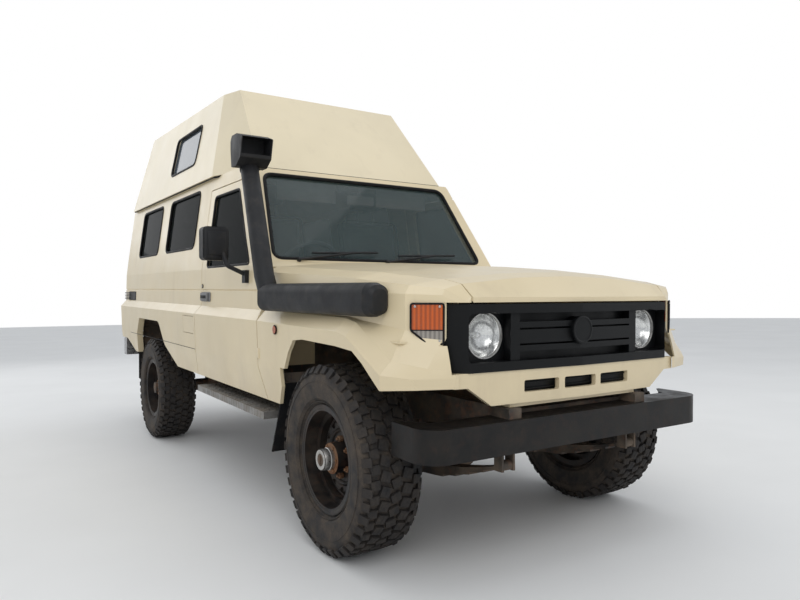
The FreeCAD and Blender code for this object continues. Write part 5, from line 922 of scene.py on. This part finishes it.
class CAR_OT_lamps(Operator):
    """Headlamp bowls and rings, corner lamp frames, markers and rear lamp panels"""

    bl_idname = "car.lamps"
    bl_label = "Lamps"

    def execute(self, context):
        for side, where in SIDES:
            self.headlamp(side, where)
            self.corner_lamp(side, where)
            with piece_mesh("marker_bezel_" + where, "main", "seal_rubber", "flap_rubber") as bm:
                add_ring(bm, on_side(side, *MARKER, 0.004), (1, 0, 0), 0.0185, 0.0035, 28, 8, flat=0.8)
            with piece_mesh("rear_lamp_lenses_" + where, "main", ["amber_lens", "red_lens", "clear_lens"],
                            "red_lens") as bm:
                for index, (z0, z1) in enumerate(REAR_LENSES):
                    add_block(bm, at(side * REAR_LAMP[0], REAR_LAMP[1], (z0 + z1) / 2),
                              (0.052, 0.010, (z1 - z0) / 1000 - 0.006), 0.003, index=index)
        # Painted shade: a dark plate behind each of the valance's three slots stands in for the shadowed
        # depth of the slot; the thin bars in front of the plates are the slots' own bars.
        with piece_mesh("slot_grid", "main", "grille_dark", "black_plastic") as bm:
            for x in SLOT_CENTRES:
                # Dark plate of painted shade just behind the slot.
                add_block(bm, at(x, -571, 713), (0.184, 0.004, 0.062), 0.001)
                for z in (700, 722):
                    add_block(bm, at(x, -577, z), (0.172, 0.006, 0.004), 0.001)
        with piece_mesh("grille_boss", "main", "grille_dark", "black_plastic") as bm:
            add_turned(bm, facing(0, -610, 913), BOSS, 48)
        return {"FINISHED"}

    def headlamp(self, side, where):
        """Bowl with its bulb, bright ring, and the flutes of the glass."""
        x, y, z = HEADLAMP
        place = facing(side * x, y, z)
        with piece_mesh("headlamp_bowl_" + where, "main", "reflector", "headlamp_glass") as bm:
            add_turned(bm, place, BOWL, 48)
            add_turned(bm, place, BULB, 20)
        with piece_mesh("headlamp_ring_" + where, "main", "bright_steel", "headlamp_glass") as bm:
            add_turned(bm, place, LAMP_RING, 64)
        with piece_mesh("headlamp_flutes_" + where, "main", "headlamp_glass", "headlamp_glass",
                        smooth=False) as bm:
            for step in range(-4, 5):
                add_block(bm, at(side * x + step * 16, y - 8, z), (FLUTE, FLUTE, chord(step * 0.016) * 1.9))
            for step in range(-2, 3):
                add_block(bm, at(side * x, y - 8, z + step * 26), (chord(step * 0.026) * 1.9, FLUTE, 0.0018))

    def corner_lamp(self, side, where):
        """Gasket, split between the two lenses, and screws."""
        ring = [at(side * x, y - 1, z) for x, y, z in LAMP_CORNERS]
        strip("corner_lamp_gasket_" + where, rounded(ring, 0.008, 4), 0.0036)
        split = [at(side * x, y, z) for x, y, z in LAMP_SPLIT]
        strip("corner_lamp_split_" + where, split, 0.0018, closed=False)
        with piece_mesh("corner_lamp_screws_" + where, "main", "bright_steel", "rear_chrome") as bm:
            for x, y, z in LAMP_SCREWS:
                add_disc(bm, at(side * x, y, z), (side * 0.55, -0.84, 0), 0.0042, 0.006, 12, 0.0008)


# Outside trim: places on the level body, in millimetres
HANDLE = (1600, 1020)
LOCK = (1672, 1084)
SEAM_SPAN = (1702, 1900)
SEAM_Z = 699
HINGE_Y = 640
HINGE_ZS = (760, 990)
STEP_TOP = (688, 566, 494.4)
LOZENGE = (0.026, 0.0075, 0.0036, 1)
LOZENGE_ROWS = 6
LOZENGE_COLUMNS = 36
ROW_PITCH = 26
COLUMN_PITCH = 28.6
STEP_BOLT_YS = (560, 820, 1330, 1585)
VENT = (3885, 979)
MIRROR = (-941, 1300)


class CAR_OT_trim(Operator):
    """Handles, locks, side seams, hinge leaves, step plates, vents and the mirror"""

    bl_idname = "car.trim"
    bl_label = "Outside trim"

    def execute(self, context):
        for side, where in SIDES:
            self.door_trim(side, where)
            self.step_trim(side, where)
            with piece_mesh("vent_slats_" + where, "main", "seal_rubber", "black_plastic") as bm:
                for row in range(5):
                    add_block(bm, on_side(side, VENT[0], VENT[1] + row * 13.5, 0.004), (0.006, 0.250, 0.0045),
                              0.0012, tilt() @ Matrix.Rotation(side * 0.5, 4, "Y"))
        x, z = MIRROR
        with piece_mesh("mirror_face", "front_door_right", "mirror_face", "rear_chrome") as bm:
            corners = [at(x + across, 1038, z + up) for across, up in rectangle(-57, 57, -76, 76)]
            add_plate(bm, rounded(corners, 0.014, 5), 0.0022, (0, 1, 0))
        with piece_mesh("mirror_shell", "front_door_right", "black_plastic", "black_plastic") as bm:
            for share, y in ((1.0, 973), (0.93, 965), (0.72, 957)):
                add_block(bm, at(x, y, z), (0.126 * share, 0.010, 0.164 * share), 0.004)
        return {"FINISHED"}

    def door_trim(self, side, where):
        """Handle, lock, the seam behind the door and the leaves of its hinges."""
        door = "front_door_" + where
        with piece_mesh("door_handle_" + where, door, ["grey_moulding", "seal_rubber"],
                        "black_plastic") as bm:
            ring = [on_side(side, y, z, 0.0006) for y, z in rectangle(1512, 1688, 992, 1048)]
            add_plate(bm, rounded(ring, 0.012, 4), 0.0035, (side, 0, 0))
            add_block(bm, on_side(side, *HANDLE, 0.011), (0.017, 0.128, 0.050), 0.006)
            add_block(bm, on_side(side, *HANDLE, 0.0200), (0.0025, 0.104, 0.018), 0.001, index=1)
        with piece_mesh("door_lock_" + where, door, ["seal_rubber", "bright_steel"], "black_plastic") as bm:
            add_disc(bm, on_side(side, *LOCK, 0.0015), (side, 0, 0), 0.0125, 0.005, 28, 0.001)
            add_disc(bm, on_side(side, *LOCK, 0.0045), (side, 0, 0), 0.0085, 0.003, 24, 0.0006, 1)
        start, long = SEAM_SPAN
        seam = [on_side(side, start + long * step / 16, SEAM_Z, 0.0004) for step in range(17)]
        strip("side_seam_" + where, seam, 0.0016, closed=False)
        with piece_mesh("door_hinge_leaves_" + where, "main", "body_paint", "body_paint") as bm:
            for z in HINGE_ZS:
                for rise in (-12, 12):
                    spot = on_side(side, HINGE_Y, z + rise, 0.0016)
                    add_disc(bm, spot, (side, 0, 0), 0.0065, 0.004, 6, 0.001)
                add_block(bm, on_side(side, HINGE_Y + 8, z, 0.0006), (0.006, 0.030, 0.050), 0.0025)

    def step_trim(self, side, where):
        """Lozenges of the chequer plate, turned alternately, and bolts along the step's edge."""
        x0, y0, z = STEP_TOP
        with piece_mesh("step_lozenges_" + where, "main", "step_aluminium", "step_aluminium",
                        weld=False) as bm:
            for row in range(LOZENGE_ROWS):
                for column in range(LOZENGE_COLUMNS):
                    x = x0 + (row + column % 2 / 2) * ROW_PITCH
                    spot = at(side * x, y0 + column * COLUMN_PITCH, z)
                    turn = Matrix.Rotation(math.radians(45 if (row + column) % 2 else -45), 4, "Z")
                    bmesh.ops.create_uvsphere(bm, u_segments=8, v_segments=4, radius=0.5,
                                              matrix=Matrix.Translation(spot) @ tilt() @ turn
                                              @ Matrix.Diagonal(LOZENGE))
        with piece_mesh("step_bolts_" + where, "main", "rusty_bolt", "cast_metal") as bm:
            for y in STEP_BOLT_YS:
                add_disc(bm, at(side * 849, y, 478), (side, 0, 0), 0.008, 0.005, 6, 0.001)


# Seats
SEAT_X = 370
SEAT_Y = 1440
CLOTH_FRAMES = 20
PIPING_INSET = 0.012
# Place along and up in millimetres, size in metres, lean, and seams as an axis and a share of the size
PADS = {"cushion": ((1440, 944), (0.468, 0.428, 0.104), 0.0, ((0, -0.46), (0, 0.46), (1, 0.62))),
        "back": ((1668, 1262), (0.468, 0.090, 0.572), 0.174, ((0, -0.46), (0, 0.46), (2, -0.30), (2, 0.55))),
        "head_rest": ((1728, 1685), (0.226, 0.062, 0.128), 0.10, ())}


def pad_shape(name, size):
    """Rounded block, a little smaller than the finished pad, about the origin."""
    bm = bmesh.new()
    bmesh.ops.create_cube(bm, size=1.0, matrix=Matrix.Diagonal((*size, 1)))
    bmesh.ops.bevel(bm, geom=list(bm.edges), offset=min(size) * 0.30, segments=4, profile=0.5, affect="EDGES",
                    material=-1)
    mesh = bpy.data.meshes.new(name)
    bm.to_mesh(mesh)
    bm.free()
    piece = bpy.data.objects.new(name, mesh)
    bpy.context.scene.collection.objects.link(piece)
    return piece


def evaluated_mesh(piece):
    """The piece's mesh with its modifiers applied, which then go."""
    depsgraph = bpy.context.evaluated_depsgraph_get()
    mesh = bpy.data.meshes.new_from_object(piece.evaluated_get(depsgraph))
    piece.modifiers.clear()
    return mesh


def blow_up(piece, settings):
    """Runs the cloth under pressure and moves each point to where it got, no further than the cap."""
    scene = bpy.context.scene
    start = [vert.co.copy() for vert in piece.data.vertices]
    cloth = piece.modifiers.new("cloth", "CLOTH")
    cloth.settings.use_pressure = True
    cloth.settings.uniform_pressure_force = settings.pressure
    cloth.settings.effector_weights.gravity = 0.0
    cloth.settings.quality = 4
    cloth.point_cache.frame_start = 1
    cloth.point_cache.frame_end = CLOTH_FRAMES
    for number in range(1, CLOTH_FRAMES + 1):
        scene.frame_set(number)
    blown = evaluated_mesh(piece)
    scene.frame_set(1)
    for vert, before, after in zip(piece.data.vertices, start, blown.vertices):
        move = after.co - before
        if move.length > settings.cap:
            move = move.normalized() * settings.cap
        vert.co = before + move


def pad_mesh(name, size, settings):
    """A pad of even cells, blown up as cloth."""
    piece = pad_shape(name, size)
    bpy.context.view_layer.objects.active = piece
    remesh = piece.modifiers.new("remesh", "REMESH")
    remesh.mode = "VOXEL"
    remesh.voxel_size = settings.voxel
    piece.data = evaluated_mesh(piece)
    blow_up(piece, settings)
    bm = bmesh.new()
    bm.from_mesh(piece.data)
    bpy.data.objects.remove(piece)
    return bm


def thin_axis(size):
    return min(range(3), key=lambda axis: size[axis])


def sew(bm, size, seams, depth):
    """Pulls the cloth in along straight seams on both broad faces."""
    thin = thin_axis(size)
    for vert in bm.verts:
        pull = 0.0
        for axis, place in seams:
            away = vert.co[axis] - place * size[axis]
            pull = max(pull, math.exp(-(away / 0.008) ** 2))
        if pull > 0.01 and abs(vert.co[thin]) > size[thin] * 0.3:
            vert.co[thin] -= math.copysign(depth * pull, vert.co[thin])
    bmesh.ops.smooth_vert(bm, verts=bm.verts, factor=0.3, use_axis_x=True, use_axis_y=True, use_axis_z=True)


def piping_loop(size):
    """Rounded outline round the face of a pad that shows: a cushion's top, or a back's front."""
    thin = thin_axis(size)
    first, second = [axis for axis in range(3) if axis != thin]
    out = 1 if thin == 2 else -1
    corners = []
    for one, two in rectangle(-1, 1, -1, 1):
        point = Vector((0, 0, 0))
        point[first] = one * (size[first] / 2 - PIPING_INSET)
        point[second] = two * (size[second] / 2 - PIPING_INSET)
        point[thin] = out * (size[thin] / 2 + PIPING_INSET)
        corners.append(point)
    return rounded(corners, 0.05, 6)


class CAR_OT_seats(Operator):
    """Padded seats with piping, on their boxes, in place of the plain solids"""

    bl_idname = "car.seats"
    bl_label = "Seats"

    def execute(self, context):
        settings = context.scene.car_seat
        for name, (spot, size, lean, seams) in PADS.items():
            pad = pad_mesh(name, size, settings)
            sew(pad, size, seams, settings.seam)
            for side, where in SIDES:
                place = (Matrix.Translation(at(side * SEAT_X, *spot)) @ tilt()
                         @ Matrix.Rotation(-lean, 4, "X"))
                bm = pad.copy()
                bmesh.ops.transform(bm, matrix=place, verts=bm.verts)
                piece = finish_mesh("seat_%s_%s" % (name, where), bm, "main", "seat_fabric",
                                    weld=False)
                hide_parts("seats")
                if name != "head_rest":
                    loop = [place @ point for point in piping_loop(size)]
                    strip("seat_%s_piping_%s" % (name, where), loop, 0.0035)
            pad.free()
        for side, where in SIDES:
            middle_x = side * SEAT_X
            with piece_mesh("seat_box_" + where, "main", "cab_plastic", "cab_plastic") as bm:
                add_block(bm, at(middle_x, SEAT_Y, 768), (0.380, 0.350, 0.196), 0.020)
                add_block(bm, at(middle_x, SEAT_Y, 872), (0.440, 0.400, 0.014), 0.005)
            with piece_mesh("seat_fittings_" + where, "main", "bright_steel", "rear_chrome") as bm:
                for x in (middle_x - 62, middle_x + 62):
                    add_disc(bm, at(x, 1722, 1592), (0, 0.1, 1), 0.0055, 0.110, 16)
                    add_disc(bm, at(x, 1716, 1564), (0, 0.1, 1), 0.0110, 0.012, 20, 0.002)
                for x in (middle_x - 150, middle_x + 150):
                    add_block(bm, at(x, SEAT_Y, 674), (0.030, 0.420, 0.014), 0.003)
                add_disc(bm, at(side * (SEAT_X - 262), 1600, 955), (side, 0, 0), 0.026, 0.014, 28, 0.003)
        return {"FINISHED"}


# Tail, underbody and cab: places on the level body, in millimetres
TAIL_HINGE_ZS = (800, 1180, 1560)
PLATE = (410, 800)
STRAP_YS = (3290, 3600)
DASH_Y = 1003
DASH_VENT_XS = (-560, -150, 150, 560)


class CAR_OT_tail(Operator):
    """Hinges, handle, lamp, blank plate and straps at the tail and below"""

    bl_idname = "car.tail"
    bl_label = "Tail and underbody"

    def execute(self, context):
        for side, where in SIDES:
            with piece_mesh("tail_hinges_" + where, "back_door_" + where, "body_paint", "body_paint") as bm:
                for z in TAIL_HINGE_ZS:
                    edge = 700 - (z - 690) * 0.053
                    add_block(bm, at(side * (edge - 24), TAIL_Y + 2.5, z), (0.062, 0.006, 0.070), 0.0025)
                    for rise in (-20, 20):
                        spot = at(side * (edge - 34), TAIL_Y + 6, z + rise)
                        add_disc(bm, spot, (0, 1, 0), 0.0065, 0.004, 6, 0.001)
        with piece_mesh("tail_handle", "back_door_right", ["black_plastic", "bright_steel"],
                        "black_plastic") as bm:
            add_block(bm, at(60, TAIL_Y + 3, 1085), (0.150, 0.007, 0.056), 0.003)
            add_block(bm, at(66, TAIL_Y + 11, 1090), (0.104, 0.011, 0.024), 0.005)
            add_disc(bm, at(20, TAIL_Y + 8, 1062), (0, 1, 0), 0.0085, 0.004, 24, 0.0008, 1)
        x, z = PLATE
        with piece_mesh("blank_plate", "back_door_left", "blank_white") as bm:
            add_block(bm, at(x, TAIL_Y + 3, z), (0.374, 0.005, 0.136), 0.004)
        with piece_mesh("plate_lamp", "back_door_left", "black_plastic", "black_plastic") as bm:
            for across in (-150, 150):
                add_disc(bm, at(x + across, TAIL_Y + 6.5, z), (0, 1, 0), 0.0045, 0.003, 16, 0.0008)
            add_block(bm, at(x, TAIL_Y + 9, z + 84), (0.170, 0.018, 0.026), 0.005)
        with piece_mesh("tank_straps", "main", "bright_steel", "frame_steel") as bm:
            for y in STRAP_YS:
                add_block(bm, at(0, y, 441), (0.618, 0.032, 0.003), 0.001)
                for x in (-309, 309):
                    add_block(bm, at(x, y, 535), (0.003, 0.032, 0.190), 0.001)
        return {"FINISHED"}


class CAR_OT_cab(Operator):
    """Instruments, vents, mirror, visors, door cards and gear lever inside the cab"""

    bl_idname = "car.cab"
    bl_label = "Cab fittings"

    def execute(self, context):
        with piece_mesh("dash_fittings", "main", ["cab_plastic", "grille_dark"], "cab_plastic") as bm:
            add_block(bm, at(-SEAT_X, 930, 1205), (0.330, 0.120, 0.060), 0.020)
            add_block(bm, at(-SEAT_X, 992, 1196), (0.290, 0.004, 0.070), 0.002, index=1)
            for x in (-440, -300):
                add_ring(bm, at(x, 995, 1198), (0, 1, 0), 0.030, 0.002, 32, 6)
            for x in DASH_VENT_XS:
                for row in range(4):
                    add_block(bm, at(x, DASH_Y - 1, 1110 + row * 12), (0.110, 0.004, 0.003))
            add_block(bm, at(380, DASH_Y, 1040), (0.340, 0.006, 0.130), 0.004)
            add_block(bm, at(0, DASH_Y, 1020), (0.190, 0.006, 0.150), 0.004, index=1)
        with piece_mesh("cab_mirror_and_visors", "main", "cab_light", "cab_plastic") as bm:
            add_block(bm, at(10, 1160, 1607), (0.190, 0.020, 0.058), 0.008)
            add_disc(bm, at(10, 1168, 1650), (0, 0.2, 1), 0.006, 0.060, 16)
            for x in (-330, 330):
                add_block(bm, at(x, 1195, 1640), (0.380, 0.014, 0.120), 0.006)
        for side, where in SIDES:
            with piece_mesh("door_card_" + where, "front_door_" + where, ["cab_plastic", "bright_steel"],
                            "cab_plastic") as bm:
                add_block(bm, at(side * 735, 1250, 940), (0.010, 0.700, 0.330), 0.004)
                add_block(bm, at(side * 712, 1330, 1010), (0.050, 0.300, 0.036), 0.012)
                add_disc(bm, at(side * 722, 1130, 930), (side, 0, 0), 0.016, 0.030, 20, 0.003, 1)
                add_block(bm, at(side * 703, 1130, 960), (0.010, 0.018, 0.080), 0.004, index=1)
        with piece_mesh("gear_lever", "main", "seal_rubber", "cab_plastic") as bm:
            add_disc(bm, at(0, 1180, 760), (0, 0.15, 1), 0.008, 0.240, 20)
            bmesh.ops.create_uvsphere(bm, u_segments=20, v_segments=12, radius=0.024,
                                      matrix=Matrix.Translation(at(0, 1198, 884)))
            add_disc(bm, at(0, 1180, 672), (0, 0, 1), 0.060, 0.030, 28, 0.006, end_radius=0.030)
        return {"FINISHED"}


# Stage: each light has its name, place, size in metres and power in watts
LIGHTS = (("key", (-4.5, -7.5, 6.0), 6.0, 185.0), ("fill", (6.5, -5.0, 4.0), 6.0, 60.0),
          ("top", (0.0, 0.0, 8.0), 9.0, 95.0), ("back", (-3.0, 8.0, 5.0), 6.0, 90.0))
LIT_POINT = Vector((0, 0, 0.9))
SKY = (0.93, 0.96, 1.0, 1)
SKY_STRENGTH = 0.70
WHITE = (1, 1, 1, 1)
SENSOR = 36.0
FOCAL_PIXELS = 665.868
PHOTO_WIDTH = 800
CAMERA_X, CAMERA_Y, CAMERA_Z = -2.01024, -2.42190, 0.99914
CAMERA_YAW, CAMERA_PITCH, CAMERA_ROLL = (math.radians(angle) for angle in (33.076, 0.447, -0.714))


def lay_floor(scene):
    """Pale round floor, far wider than the vehicle."""
    mat = Nodes("studio_floor")
    tone = mat.mix(mat.ramp(mat.noise(0.8, 3.0), 0.3, 0.7), (0.80, 0.80, 0.79), (0.84, 0.84, 0.83))
    mat.set(Base_Color=tone, Roughness=mat.ramp(mat.noise(5.0), 0.3, 0.7, 0.6, 0.72))
    mat.bump(mat.noise(60.0, 3.0), 0.04, 0.001)
    bm = bmesh.new()
    bmesh.ops.create_circle(bm, cap_ends=True, segments=96, radius=40.0)
    mesh = bpy.data.meshes.new("studio_floor")
    bm.to_mesh(mesh)
    bm.free()
    mesh.materials.append(mat.material)
    floor = bpy.data.objects.new("studio_floor", mesh)
    scene.collection.objects.link(floor)


def light_world(scene):
    """Even sky light, with plain white where the camera sees past the floor."""
    world = bpy.data.worlds.new("studio_world")
    scene.world = world
    world.use_nodes = True
    nodes, links = world.node_tree.nodes, world.node_tree.links
    nodes.clear()
    out = nodes.new("ShaderNodeOutputWorld")
    path = nodes.new("ShaderNodeLightPath")
    choose = nodes.new("ShaderNodeMixShader")
    links.new(path.outputs["Is Camera Ray"], choose.inputs["Fac"])
    for index, colour, strength in ((1, SKY, SKY_STRENGTH), (2, WHITE, 1.0)):
        background = nodes.new("ShaderNodeBackground")
        background.inputs["Color"].default_value = colour
        background.inputs["Strength"].default_value = strength
        links.new(background.outputs["Background"], choose.inputs[index])
    links.new(choose.outputs["Shader"], out.inputs["Surface"])


def hang_lights(scene):
    for name, place, size, power in LIGHTS:
        data = bpy.data.lights.new(name, "AREA")
        data.shape = "DISK"
        data.size = size
        data.energy = power
        lamp = bpy.data.objects.new(name, data)
        lamp.location = place
        lamp.rotation_euler = (LIT_POINT - Vector(place)).to_track_quat("-Z", "Y").to_euler()
        scene.collection.objects.link(lamp)


def set_camera(scene):
    """Camera at the front right, about a metre up, looking as the photograph does."""
    data = bpy.data.cameras.new("camera")
    data.sensor_width = SENSOR
    data.sensor_fit = "HORIZONTAL"
    data.lens = FOCAL_PIXELS / PHOTO_WIDTH * SENSOR
    data.clip_end = 100.0
    camera = bpy.data.objects.new("camera", data)
    scene.collection.objects.link(camera)
    level = math.cos(CAMERA_PITCH)
    ahead = Vector((math.sin(CAMERA_YAW) * level, math.cos(CAMERA_YAW) * level, math.sin(CAMERA_PITCH)))
    right = Vector((math.cos(CAMERA_YAW), -math.sin(CAMERA_YAW), 0))
    up = right.cross(ahead)
    side = right * math.cos(CAMERA_ROLL) + up * math.sin(CAMERA_ROLL)
    top = up * math.cos(CAMERA_ROLL) - right * math.sin(CAMERA_ROLL)
    turn = Matrix((side, top, -ahead)).transposed().to_4x4()
    camera.matrix_world = Matrix.Translation((CAMERA_X + PLANE_X, CAMERA_Y + AXLE_Y, CAMERA_Z)) @ turn
    scene.camera = camera


class CAR_OT_stage(Operator):
    """Pale floor, soft studio light and the camera at the photograph's angle"""

    bl_idname = "car.stage"
    bl_label = "Stage"

    def execute(self, context):
        scene = context.scene
        scene.view_settings.view_transform = "Standard"
        lay_floor(scene)
        light_world(scene)
        hang_lights(scene)
        set_camera(scene)
        return {"FINISHED"}


class CAR_PT_panel(Panel):
    """Sizes, colours and the operators that make the pieces"""

    bl_label = "4x4 dressing"
    bl_idname = "CAR_PT_panel"
    bl_space_type = "VIEW_3D"
    bl_region_type = "UI"
    bl_category = "4x4"

    def draw(self, context):
        for settings in SETTINGS:
            group = getattr(context.scene, settings)
            box = self.layout.box()
            for key in group.bl_rna.properties.keys():
                if key not in ("rna_type", "name"):
                    box.prop(group, key)
        for operator in OPERATORS:
            self.layout.operator(operator.bl_idname)


OPERATORS = (CAR_OT_materials, CAR_OT_tyres, CAR_OT_seals, CAR_OT_wheels, CAR_OT_lamps, CAR_OT_trim,
             CAR_OT_seats, CAR_OT_tail, CAR_OT_cab, CAR_OT_stage)
SETTINGS = {"car_paint": CarPaintSettings, "car_trim": CarTrimSettings, "car_tyre": CarTyreSettings,
            "car_seat": CarSeatSettings}


def register():
    for entry in (*SETTINGS.values(), *OPERATORS, CAR_PT_panel):
        bpy.utils.register_class(entry)
    for name, settings in SETTINGS.items():
        setattr(bpy.types.Scene, name, PointerProperty(type=settings))


def unregister():
    for name in SETTINGS:
        delattr(bpy.types.Scene, name)
    for entry in reversed((*SETTINGS.values(), *OPERATORS, CAR_PT_panel)):
        bpy.utils.unregister_class(entry)


def main():
    register()
    bpy.ops.car.materials()
    bpy.ops.car.tyres()
    bpy.ops.car.seals()
    bpy.ops.car.wheels()
    bpy.ops.car.lamps()
    bpy.ops.car.trim()
    bpy.ops.car.seats()
    bpy.ops.car.tail()
    bpy.ops.car.cab()
    bpy.ops.car.stage()


if __name__ == "__main__":
    main()
